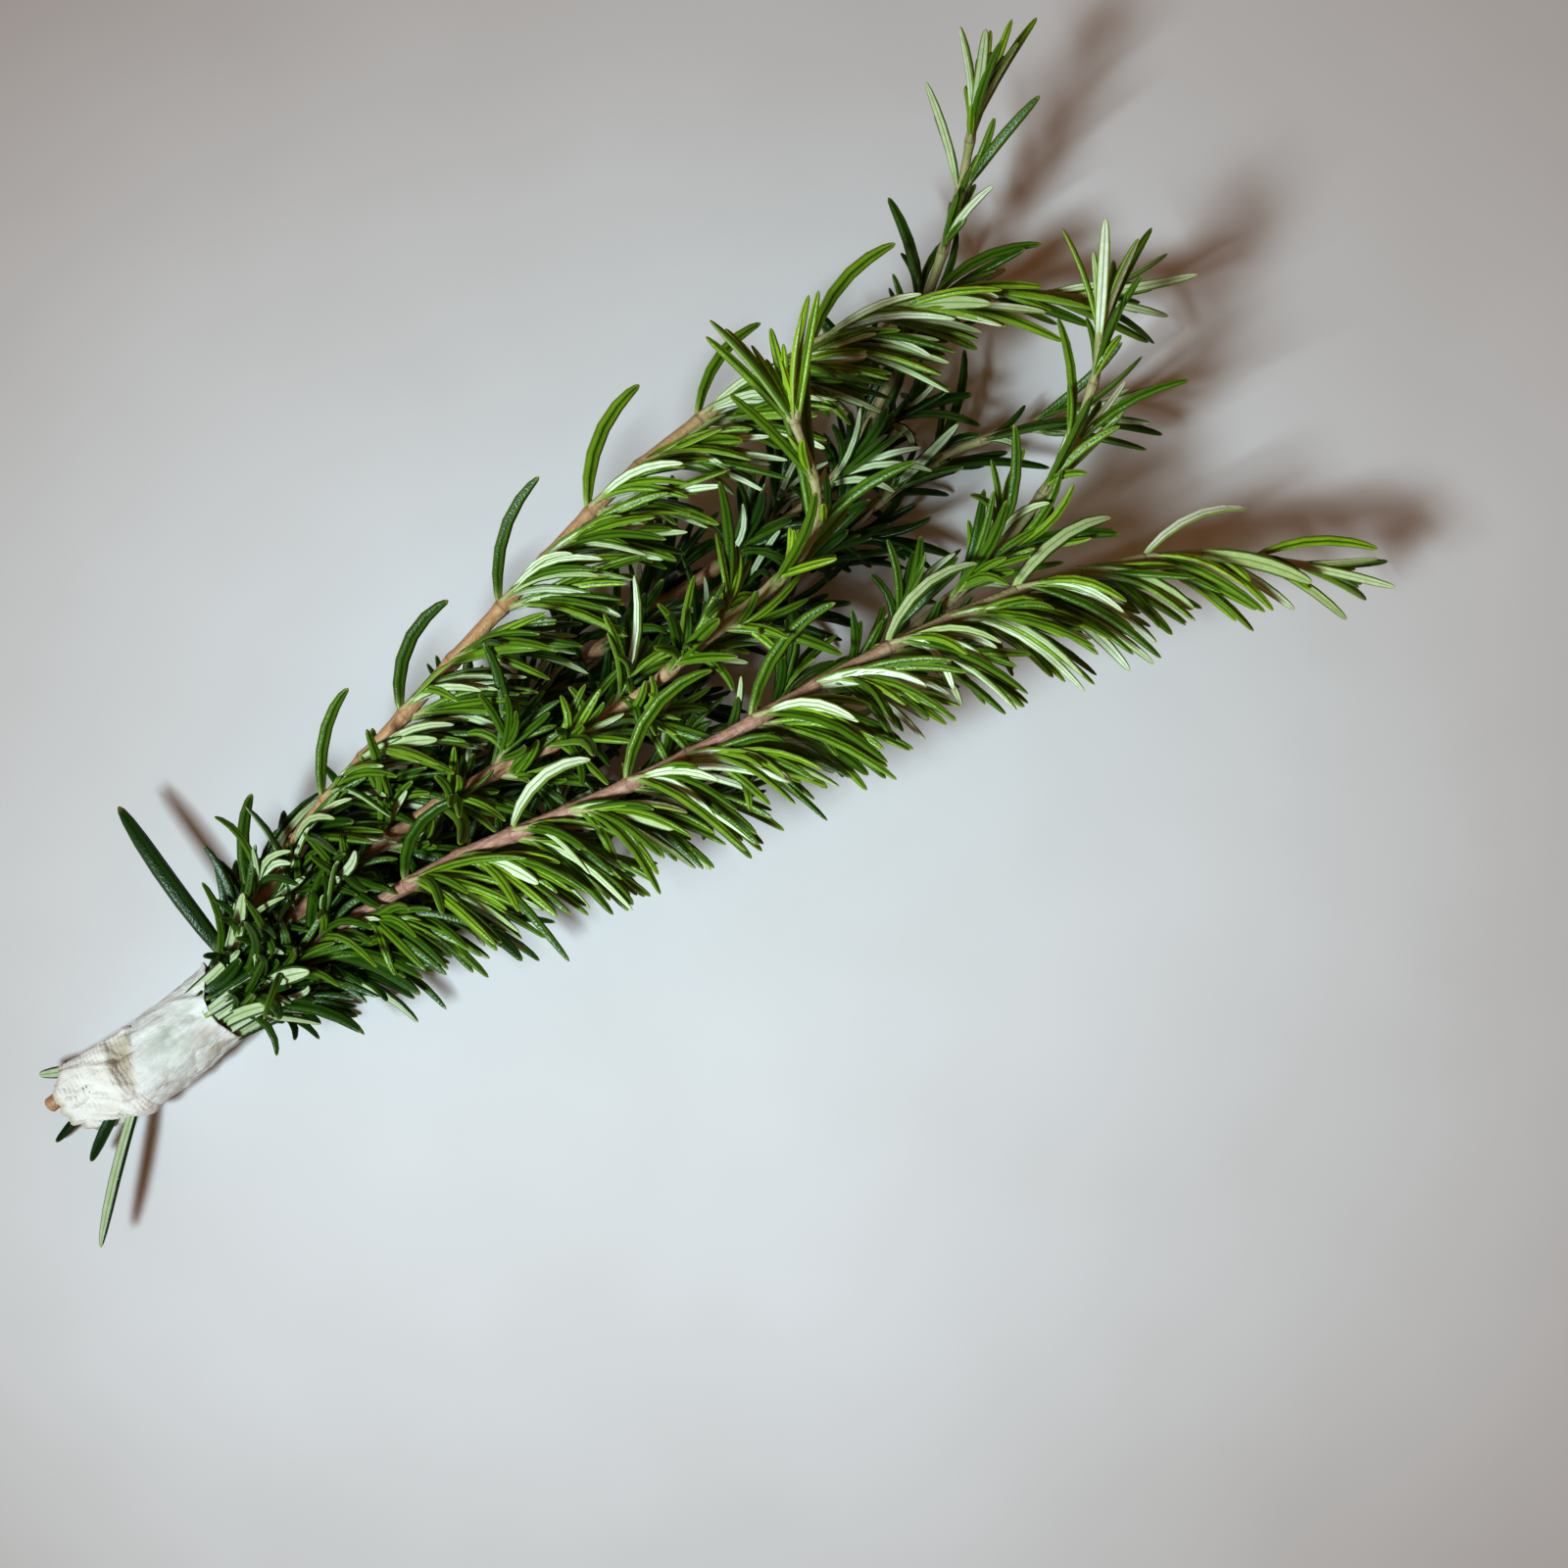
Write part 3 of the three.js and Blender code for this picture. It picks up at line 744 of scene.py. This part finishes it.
def stem_tree():
    """Sweeps a slightly square section along each stem and shoot."""
    tree = Tree(
        bpy.data.node_groups.new("rosemary stem", "GeometryNodeTree"),
        {"Lines": "Geometry", "Sides": 12, "Squareness": 0.07, "Material": "Material"},
        ("Stems", "Geometry"),
    )
    circle = tree.add("CurvePrimitiveCircle", {"Resolution": tree.given["Sides"], "Radius": 1.0})
    turn = tree.times(tree.add("SplineParameter", out="Factor"), 8 * math.pi)
    reach = tree.math("ADD", 1, tree.times(tree.math("COSINE", turn), tree.given["Squareness"]))
    place = tree.add("VectorMath", {0: tree.add("InputPosition"), "Scale": reach}, operation="SCALE")
    section = tree.add("SetPosition", {"Geometry": circle, "Position": place})
    section = tree.store(section, "round", tree.add("InputPosition"), "FLOAT_VECTOR")
    line = tree.add("MeshToCurve", {"Mesh": tree.given["Lines"]})
    return sweep_of(tree, line, section, tree.named("radius"))


def sweep_of(tree, line, section, scale):
    """Ends a tree: the section swept along the line, with smooth shading and the material."""
    sweep = {"Curve": line, "Profile Curve": section, "Scale": scale, "Fill Caps": True}
    geometry = tree.add("CurveToMesh", sweep)
    geometry = tree.add("SetShadeSmooth", {"Geometry": geometry, "Shade Smooth": True})
    geometry = tree.add("RealizeInstances", {"Geometry": geometry})
    geometry = tree.add("SetMaterial", {"Geometry": geometry, "Material": tree.given["Material"]})
    tree.put(tree.result, geometry)
    return tree.tree


def linked(name, data):
    """A new object in the scene."""
    made = bpy.data.objects.new(name, data)
    bpy.context.scene.collection.objects.link(made)
    return made


def swept(name, chains, tree, **values):
    """Puts a tree on a mesh of lines and keeps its result as a plain mesh."""
    piece = linked(name, chains.mesh(name + "_lines"))
    modifier = piece.modifiers.new("sweep", "NODES")
    modifier.node_group = tree
    for socket in tree.interface.items_tree:
        if socket.in_out == "INPUT" and socket.name in values:
            modifier[socket.identifier] = values[socket.name]
    shown = bpy.context.evaluated_depsgraph_get()
    mesh = bpy.data.meshes.new_from_object(piece.evaluated_get(shown), preserve_all_data_layers=True, depsgraph=shown)
    piece.modifiers.clear()
    lines, piece.data = piece.data, mesh
    bpy.data.meshes.remove(lines)
    mesh.name = name
    return piece


# ---- tissue wrap ----
def wrap_ring(angle, x, depth):
    """A point of the wrap, at a place along the bunch. Angles turn from the left side (0) up over the top."""
    left, up = math.cos(angle), math.sin(angle)
    share = (x - WRAP_TAIL) / (WRAP_MOUTH - WRAP_TAIL)
    waist = math.sin(math.pi * clamp(share))
    swell = mix(0.82, 1, clamp(share))
    crumple = 0.35 * math.sin(4 * angle + 3 * share) * (1 - clamp(share))
    half_width = WRAP_HALF_WIDTH * (1 + 0.04 * waist) + crumple - depth
    half_height = WRAP_HALF_HEIGHT * swell + 0.3 * math.sin(3 * angle + 2 * share) - depth
    y = -1 - 1.6 * waist + half_width * left
    z = WRAP_HALF_HEIGHT * swell - WRAP_FLAT + half_height * up
    return placed((x, y, max(depth + 0.15, z)))


def creases(point, size):
    """Flat facets between sharp folds, from 0 on a fold to 1 within a facet."""
    near = noise.voronoi(Vector(point) / size)[0]
    return min(near[1] - near[0], 0.6) / 0.6


def pleat(angle, x, length, width, seed):
    """Long soft pleats that run slanting round the wrap, from 0 to 1 on their ridges."""
    round_, slant = angle * WRAP_HALF_WIDTH, 0.65
    along = round_ * math.sin(slant) + x * math.cos(slant)
    across = round_ * math.cos(slant) - x * math.sin(slant)
    return 1 - min(1, 2.2 * abs(noise.noise(Vector((along / length, across / width, seed)))))


def torn(angle, amount, seed):
    """A torn edge: small tears on long waves."""
    around = Vector((math.cos(angle), math.sin(angle), seed))
    return amount * (noise.noise(around * 3) + 0.35 * noise.noise(around * 11) + 0.15 * noise.noise(around * 30))


def hump(value, middle, reach):
    return math.exp(-(((value - middle) / reach) ** 2))


def band_tail(angle):
    """The slanting fold where the band ends, further down the bunch on the right."""
    return -115 + 3 * math.cos(angle) + torn(angle, 0.4, 1)


def band_mouth(angle):
    left, up = math.cos(angle), math.sin(angle)
    flap = 12 * max(0, -left * 0.75 - up * 0.65) ** 6
    return WRAP_MOUTH + 1.2 * left + 0.8 * math.sin(3 * angle) + flap


def band_depth(angle, x):
    """How far the band lies within the wrap's outline. It winds in as it goes round from a loose edge."""
    wound = 0.4 * (angle - BAND_END) / (2 * math.pi)
    loose = 1.1 * hump(angle, BAND_END, 0.2)
    lip = 0.45 * hump(x, band_mouth(angle), 1.3)
    folds = 0.55 * (1 - pleat(angle, x, 16, 4.5, 3)) + 0.3 * (1 - creases((angle * 9, x, 2), 5))
    fibres = 0.10 * noise.noise(Vector((angle * 7, x / 1.4, 4)))
    return max(0.05, 0.45 + wound + folds - loose - lip) + fibres


def hollow(angle, x):
    """The fold left open on the left, between the band's end and the crumpled tail: 1 at its bottom."""
    across = (angle - 0.35) / 1.9
    if not 0 < across < 1:
        return 0
    middle = band_tail(angle) - 1 - 3.2 * (1 - across)
    return math.sin(math.pi * across**0.7) ** 0.8 * hump(x, middle, 0.8 + 2.6 * (1 - across))


def skirt_tail(angle):
    left, up = math.cos(angle), math.sin(angle)
    return -132.3 - 1.2 * up + 2.8 * max(0, left) ** 2 + 2.0 * max(0, -left) ** 2 + torn(angle, 1.2, 7)


def skirt_start(angle):
    return band_tail(angle) + 5


def skirt_depth(angle, x):
    """The tail is crumpled, puffs out past the band and closes over the cut ends."""
    past = clamp((band_tail(angle) + 1.5 - x) / 3.5)
    out = clamp((-117 - x) / 15)
    place = (angle * 9, x, 7)
    folds = 0.5 * (1 - creases(place, 8)) + 0.15 * (1 - creases(place, 3)) + 0.6 * (1 - pleat(angle, x, 18, 3.5, 9))
    crepe = 0.11 * math.sin(x * 7 + 2.5 * noise.noise(Vector(place) / 5)) * (0.4 + noise.noise(Vector(place) / 3))
    closed = 1.5 * out**2 * max(0, math.sin(angle)) + 0.6 * out
    corner = 1.3 * hump(x, -118, 3) * hump(angle, math.pi, 0.8)
    rim = 0.8 * hump(x, band_tail(angle) - 7.5 + 1.5 * angle, 1.2) * max(0, math.sin(angle))
    depth = mix(2.4, 0.35, past) + folds * mix(0.1, 1, past) + crepe * past + closed - corner - rim
    return max(0.1, depth) + 2.0 * hollow(angle, x)


def draped(points, lines, clearance):
    """Moves the tissue off the stems under it, so that it lies over them."""
    inner = [(line.points[:50], line.radius(0) + clearance) for line in lines]
    for _ in range(3):
        for stem, reach in inner:
            apart = points[:, None] - stem
            gaps = np.linalg.norm(apart, axis=2)
            nearest = gaps.argmin(axis=1)
            each = np.arange(len(points))
            gap = gaps[each, nearest]
            push = np.clip(reach - gap, 0, None) / np.maximum(gap, 0.01)
            points = points + apart[each, nearest] * push[:, None]
    points[:, 2] = np.maximum(points[:, 2], 0.2)
    return points


def wrap_sheet(first, last, columns, rows, tail, mouth, depth, tail_share):
    """A grid of tissue between two angles, with the values that its finish reads. Its edges and depth are rules."""
    points, values = [], []
    for i in range(columns + 1):
        angle = mix(first, last, i / columns)
        for j in range(rows + 1):
            x = mix(tail(angle), mouth(angle), j / rows)
            points.append(wrap_ring(angle, x, depth(angle, x)))
            edge = hump(x, tail(angle), 1.1) if tail_share else 0.0
            # painted shade in the fold left open between the band's end and the tail, and the beige torn edge of the
            # tail
            fold_shade_and_torn_edge = max(hollow(angle, x) if tail_share else 0.0, 0.75 * edge)
            # darker beige patches near the mouth and by the band's end, both on the right
            beige_patches = hump(x, -99.5, 3.2) * hump(angle, 2.3, 0.55) + 0.8 * hump(x, -112, 3) * hump(angle, 2.75, 0.4)
            leafy = hump(x, -105, 6) * hump(angle, 1.45, 0.5) + 1.2 * hump(x, -113.5, 1.6) * hump(angle, 0.55, 0.3)
            values.append((fold_shade_and_torn_edge, beige_patches, leafy, tail_share))
    row = rows + 1
    faces = [
        (i * row + j, i * row + j + 1, (i + 1) * row + j + 1, (i + 1) * row + j)
        for i in range(columns)
        for j in range(rows)
    ]
    return points, values, faces


def tissue_wrap(material, lines):
    """The band and the crumpled tail under it, as one thin walled piece."""
    band_last = BAND_END + 2 * math.pi * BAND_TURNS
    sheets = [
        (0.6, wrap_sheet(BAND_END, band_last, 230, 64, band_tail, band_mouth, band_depth, 0.0)),
        (0.25, wrap_sheet(-math.pi * 0.5, math.pi * 1.5, 200, 110, skirt_tail, skirt_start, skirt_depth, 1.0)),
    ]
    points, values, faces = [], [], []
    for clearance, (sheet_points, sheet_values, sheet_faces) in sheets:
        first = len(points)
        points += [tuple(point * MM) for point in draped(np.array(sheet_points), lines, clearance)]
        values += sheet_values
        faces += [tuple(first + corner for corner in face) for face in sheet_faces]
    values = dict(zip(("fold_shade_and_torn_edge", "beige_patches", "leafy", "tail"), zip(*values)))
    mesh = mesh_of("tissue_wrap", points, [], faces, values)
    mesh.shade_smooth()
    mesh.materials.append(material)
    piece = linked("tissue_wrap", mesh)
    wall = piece.modifiers.new("paper", "SOLIDIFY")
    wall.thickness = PAPER_THICKNESS * MM
    wall.offset = -1
    return piece


# ---- finishes ----
def tone_group():
    """Mixes two colours in soft patches."""
    tree = Tree(
        bpy.data.node_groups.new("uneven tone", "ShaderNodeTree"),
        {"Place": "Vector", "Colour": "Color", "Other colour": "Color", "Scale": 100.0, "Amount": 0.5},
        ("Colour", "Color"),
    )
    patches = tree.add(
        "TexNoise",
        {"Vector": tree.given["Place"], "Scale": tree.given["Scale"], "Detail": 3.0, "Roughness": 0.6},
    )
    share = tree.add("MapRange", {"Value": patches, "From Min": 0.35, "From Max": 0.65})
    share = tree.times(share, tree.given["Amount"])
    tree.put(tree.result, tree.blend(share, tree.given["Colour"], tree.given["Other colour"]))
    return tree.tree


def grain_group():
    """The height of fine raised cells with a finer roughness on them."""
    tree = Tree(
        bpy.data.node_groups.new("fine grain", "ShaderNodeTree"),
        {"Place": "Vector", "Scale": 3000.0, "Fineness": 0.4},
        ("Height", "Float"),
    )
    cells = tree.add("TexVoronoi", {"Vector": tree.given["Place"], "Scale": tree.given["Scale"]}, feature="SMOOTH_F1")
    fine = tree.add(
        "TexNoise",
        {"Vector": tree.given["Place"], "Scale": tree.times(tree.given["Scale"], 2), "Detail": 2.0},
    )
    height = tree.math("SUBTRACT", tree.times(fine, tree.given["Fineness"]), cells)
    tree.put(tree.result, height)
    return tree.tree


def toned(tree, tone, place, colour, other, scale, amount):
    """One colour with soft patches of another."""
    inputs = {"Place": place, "Colour": colour, "Other colour": other, "Scale": scale, "Amount": amount}
    return tree.group(tone, inputs)


def grained(tree, grain, place, scale, fineness, strength, distance):
    """Raises a fine grain on a surface, and gives back its height."""
    height = tree.group(grain, {"Place": place, "Scale": scale, "Fineness": fineness})
    bump = tree.add("Bump", {"Height": height, "Strength": strength, "Distance": distance})
    tree.put(tree.shader.inputs["Normal"], bump)
    return height


def finish(name):
    """A new material, its tree and the place that its patterns read."""
    material = bpy.data.materials.new(name)
    material.use_nodes = True
    material.node_tree.nodes.clear()
    tree = Tree(material.node_tree)
    surface = tree.add("BsdfPrincipled")
    tree.put(tree.tree.nodes.new("ShaderNodeOutputMaterial").inputs["Surface"], surface)
    tree.shader = surface.node
    return material, tree, tree.add("TexCoord", out="Object")


def painted(tree, colour, roughness):
    tree.put(tree.shader.inputs["Base Color"], colour)
    tree.put(tree.shader.inputs["Roughness"], roughness)


def leaf_finish(tone, grain):
    """Glossy pebbled green above, with painted light on its two lobes and painted shade in the groove and by the
    margins, and white felt between green margins below.
    """
    material, tree, place = finish("rosemary leaf")
    across = tree.math("ABSOLUTE", tree.attribute("across"))
    under, along, youth, tint = (tree.attribute(name) for name in ("under", "along", "youth", "tint"))

    # a painted-shade and a painted-light copy of the green: across the upper side the lobes get the lit one, the
    # groove and the sides by the margins the shaded one
    shaded = tree.blend(youth, (0.003, 0.020, 0.001), (0.022, 0.100, 0.003))
    bright = tree.blend(youth, (0.050, 0.170, 0.006), (0.480, 0.685, 0.040))
    # tint mixes the lit copy towards the shaded one: a tone that differs at random from leaf to leaf, plus painted
    # shade on low leaves
    bright = tree.blend(tree.times(tint, 0.78), bright, shaded)
    painted_light_across = [(0, 0.05), (0.12, 0.3), (0.35, 0.9), (0.6, 1), (0.85, 0.6), (1, 0.5)]
    green = tree.blend(tree.curve(across, painted_light_across), shaded, bright)
    deeper = tree.blend(0.5, green, shaded)
    green = toned(tree, tone, place, green, deeper, 260.0, 0.5)
    pale_margin = tree.math("SUBTRACT", 0.7, tree.times(tint, 0.7))
    pale_margin = tree.times(tree.between(across, 0.82, 0.96), pale_margin)
    green = tree.blend(pale_margin, green, (0.42, 0.56, 0.17))

    greenish = tree.blend(youth, (0.50, 0.56, 0.41), (0.44, 0.52, 0.20))
    felt = tree.blend(tint, (0.84, 0.87, 0.77), greenish)
    greenish = tree.blend(youth, (0.35, 0.42, 0.26), (0.30, 0.38, 0.11))
    thin_felt = tree.blend(tint, (0.58, 0.65, 0.49), greenish)
    felt = toned(tree, tone, place, felt, thin_felt, 500.0, 0.5)
    midrib = tree.between(across, 0.16, 0.05)
    felt = tree.blend(tree.times(midrib, 0.8), felt, (0.16, 0.32, 0.06))
    below = tree.times(tree.between(under, 0.55, 0.85), tree.between(across, 0.78, 0.66))
    colour = tree.blend(below, green, felt)

    base = tree.between(along, 0.16, 0.0)
    colour = tree.blend(tree.times(base, 0.7), colour, (0.36, 0.46, 0.14))
    tip = tree.between(along, 0.955, 1.0)
    colour = tree.blend(tree.times(tip, 0.4), colour, (0.40, 0.38, 0.07))

    pebbles = grained(tree, grain, place, 2600.0, 0.3, strength=0.35, distance=0.0002)
    glossy = tree.math("ADD", 0.30, tree.times(pebbles, -0.1))
    painted(tree, colour, tree.blend_value(below, glossy, 0.9))
    tree.shader.inputs["Specular IOR Level"].default_value = 0.36
    return material


def stem_finish(tone, grain):
    """Tan to purple-brown bark that turns green towards the tip, ringed at the nodes, orange at a cut end."""
    material, tree, place = finish("rosemary stem")
    youth = tree.attribute("youth")
    scar = tree.attribute("scar")
    bark = tree.blend(tree.attribute("hue"), (0.46, 0.25, 0.085), (0.34, 0.170, 0.120))
    along = tree.times(tree.attribute("run"), 0.12)
    section_place = tree.add("Attribute", attribute_name="round", out="Vector")
    bark_place = tree.add("VectorMath", {0: section_place, 1: tree.add("CombineXYZ", {"Z": along})}, operation="ADD")
    worn = tree.blend(tree.attribute("hue"), (0.60, 0.42, 0.23), (0.56, 0.38, 0.29))
    streaks = toned(tree, tone, bark_place, bark, worn, 3.2, 0.8)
    green = toned(tree, tone, place, (0.36, 0.38, 0.16), (0.50, 0.42, 0.27), 300.0, 0.7)
    colour = tree.blend(tree.between(youth, 0.45, 0.85), streaks, green)
    ring = tree.times(tree.between(scar, 0.8, 1.0), 0.45)
    colour = tree.blend(ring, colour, (0.13, 0.065, 0.03))
    colour = tree.blend(tree.between(tree.attribute("cut"), 0.6, 0.9), colour, (0.56, 0.24, 0.06))
    fibres = grained(tree, grain, place, 1500.0, 0.8, strength=0.5, distance=0.0003)
    painted(tree, colour, tree.math("ADD", 0.62, tree.times(fibres, 0.15)))
    return material


def tissue_finish(tone, grain):
    """Thin off-white tissue with leaves and stems faintly seen through it, beige patches, painted shade in the open
    fold and a beige torn edge.
    """
    material, tree, place = finish("crumpled tissue")
    fibre_place = tree.add("Mapping", {"Vector": place, "Rotation": (0, 0, 0.6), "Scale": (0.35, 1.2, 1.2)})
    band = toned(tree, tone, fibre_place, (0.77, 0.78, 0.76), (0.60, 0.63, 0.59), 260.0, 0.8)
    crumpled = toned(tree, tone, place, (0.82, 0.82, 0.78), (0.67, 0.65, 0.58), 190.0, 0.5)
    colour = tree.blend(tree.attribute("tail"), band, crumpled)
    cloudy = tree.add("TexNoise", {"Vector": fibre_place, "Scale": 330.0, "Detail": 3.0})
    cloudy = tree.between(cloudy, 0.35, 0.62)
    # leaves seen faintly through the tissue, beige patches, and painted shade in the open fold with the beige torn
    # edge
    for name, share, patch_colour in (
        ("leafy", 0.62, (0.30, 0.35, 0.27)),
        ("beige_patches", 0.60, (0.40, 0.31, 0.21)),
        ("fold_shade_and_torn_edge", 0.85, (0.42, 0.36, 0.24)),
    ):
        amount = tree.times(tree.attribute(name), share)
        if name != "fold_shade_and_torn_edge":
            amount = tree.times(amount, cloudy)
        colour = tree.blend(amount, colour, patch_colour)
    painted(tree, colour, 0.85)
    grained(tree, grain, fibre_place, 1500.0, 1.4, strength=0.45, distance=0.0003)
    return material


def table_finish(tone):
    """The pale matt paper that the bunch lies on."""
    material, tree, place = finish("pale table")
    colour = toned(tree, tone, place, (0.67, 0.67, 0.68), (0.62, 0.61, 0.61), 9.0, 0.7)
    painted(tree, colour, 0.8)
    return material


# ---- surroundings ----
def table_top(material):
    """A round table that reaches as far as the window lights it."""
    turns = [2 * math.pi * k / TABLE_CORNERS for k in range(TABLE_CORNERS)]
    rim = [seen(TABLE_RADIUS * math.cos(turn), TABLE_RADIUS * math.sin(turn), 0) for turn in turns]
    mesh = mesh_of("table", rim, [], [range(TABLE_CORNERS)], {})
    mesh.materials.append(material)
    table = linked("table", mesh)


def seen(right, up, height):
    """A place given from the camera's view: right and up from its middle, in metres, and height over the table."""
    middle = np.array(CAMERA_PLACE) - MIDDLE[:2]
    cos, sin = math.cos(CAMERA_TURN), math.sin(CAMERA_TURN)
    x = middle[0] * MM + right * cos + up * sin
    y = middle[1] * MM - right * sin + up * cos
    return Vector((x, y, height))


def camera():
    """Looks straight down at the table."""
    lens = bpy.data.cameras.new("camera")
    lens.sensor_width = lens.sensor_height = SENSOR_WIDTH
    lens.lens = SENSOR_WIDTH * CAMERA_HEIGHT / SEEN_WIDTH
    lens.clip_start = 0.01
    eye = linked("camera", lens)
    eye.location = seen(0, 0, CAMERA_HEIGHT * MM)
    eye.rotation_euler = (0, 0, -CAMERA_TURN)
    bpy.context.scene.camera = eye


def window():
    """A cool square light from the lower left that faces the bunch and wanes to the sides."""
    lamp = bpy.data.lights.new("window", "AREA")
    lamp.size = 0.15
    lamp.spread = math.radians(58)
    lamp.energy = 0.86
    lamp.color = (0.715, 0.87, 0.94)
    place = seen(-0.342, -0.216, 0.63)
    light = linked("window", lamp)
    light.location = place
    light.rotation_euler = (seen(0.028, 0, 0) - place).to_track_quat("-Z", "Y").to_euler()


def surroundings():
    """A dim warm room that looks pale itself and is hardly mirrored in the leaves."""
    world = bpy.data.worlds.new("room")
    world.use_nodes = True
    room = Tree(world.node_tree)
    warm = world.node_tree.nodes["Background"]
    warm.inputs["Color"].default_value = (1.0, 0.48, 0.20, 1)
    glossy = room.add("LightPath", out="Is Glossy Ray")
    room.put(warm.inputs["Strength"], room.blend_value(glossy, 0.26, 0.03))
    pale = room.add("Background", {"Color": (0.62, 0.62, 0.63)})
    seen_directly = room.add("LightPath", out="Is Camera Ray")
    both = room.add("MixShader", {0: seen_directly, 1: warm.outputs[0], 2: pale})
    room.put(world.node_tree.nodes["World Output"].inputs["Surface"], both)
    bpy.context.scene.world = world
    bpy.context.scene.view_settings.view_transform = "Standard"
    bpy.context.scene.view_settings.gamma = 0.8


# ---- the bunch ----
LEAF_VALUES = ("face_up", "half_width", "along", "youth", "tint")
STEM_VALUES = ("radius", "youth", "scar", "cut", "hue", "run")


def bunch(lines, materials):
    """Grows all sprigs, settles their leaves in free room, larger ones first, and makes the pieces."""
    room = Room()
    for number, line in enumerate(lines):
        room.take(number, line.points, STEM_RADIUS)
    leaf_chains = [Chains(LEAF_VALUES) for _ in SPRIGS]
    stem_chains = [Chains(STEM_VALUES) for _ in SPRIGS]
    grown = []
    for number, (sprig, line) in enumerate(zip(SPRIGS, lines)):
        for distance, tip, width, turn in sprig.strays:
            points, faces = stray_line(line.points[line.at(distance)], placed(tip), turn)
            room.take(number, points, width / 2)
            add_leaf(leaf_chains[number], points, faces, width, youth=0.3, tint=0.5)
        leaves, shoots, nodes = grow(number, line)
        add_stem(stem_chains[number], sprig, line, nodes)
        for distance, shoot in shoots:
            add_shoot(stem_chains[number], sprig, line, distance, shoot)
        grown += [(leaf.rank, number, leaf) for leaf in leaves]
    for leaf in mouth_leaves():
        gaps = [np.linalg.norm(line.points - leaf.root, axis=1).min() for line in lines]
        grown.append((-1, int(np.argmin(gaps)), leaf))
    for _, number, leaf in sorted(grown, key=lambda entry: entry[:2]):
        settled = settle(room, number, leaf)
        if settled:
            room.take(number, settled[0], leaf.width * 0.42)
            add_leaf(leaf_chains[number], *settled, leaf.width, leaf.youth, leaf.tint)

    leaf_sweep, stem_sweep = leaf_tree(), stem_tree()
    for number, sprig in enumerate(SPRIGS):
        leaves = swept(sprig.name + "_leaves", leaf_chains[number], leaf_sweep, Material=materials["leaf"])
        stem = swept(sprig.name + "_stem", stem_chains[number], stem_sweep, Material=materials["stem"])
        for piece, slot in ((leaves, "rosemary_leaf"), (stem, "rosemary_stem")):
            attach(piece, "root")
            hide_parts(sprig.name)


def main():
    camera()
    window()
    surroundings()
    tone, grain = tone_group(), grain_group()
    materials = {"leaf": leaf_finish(tone, grain), "stem": stem_finish(tone, grain)}
    table_top(table_finish(tone))
    lines = [StemLine(sprig.route) for sprig in SPRIGS]
    bunch(lines, materials)
    wrap = tissue_wrap(tissue_finish(tone, grain), lines)
    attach(wrap, "root")
    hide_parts("paper_wrap")


main()
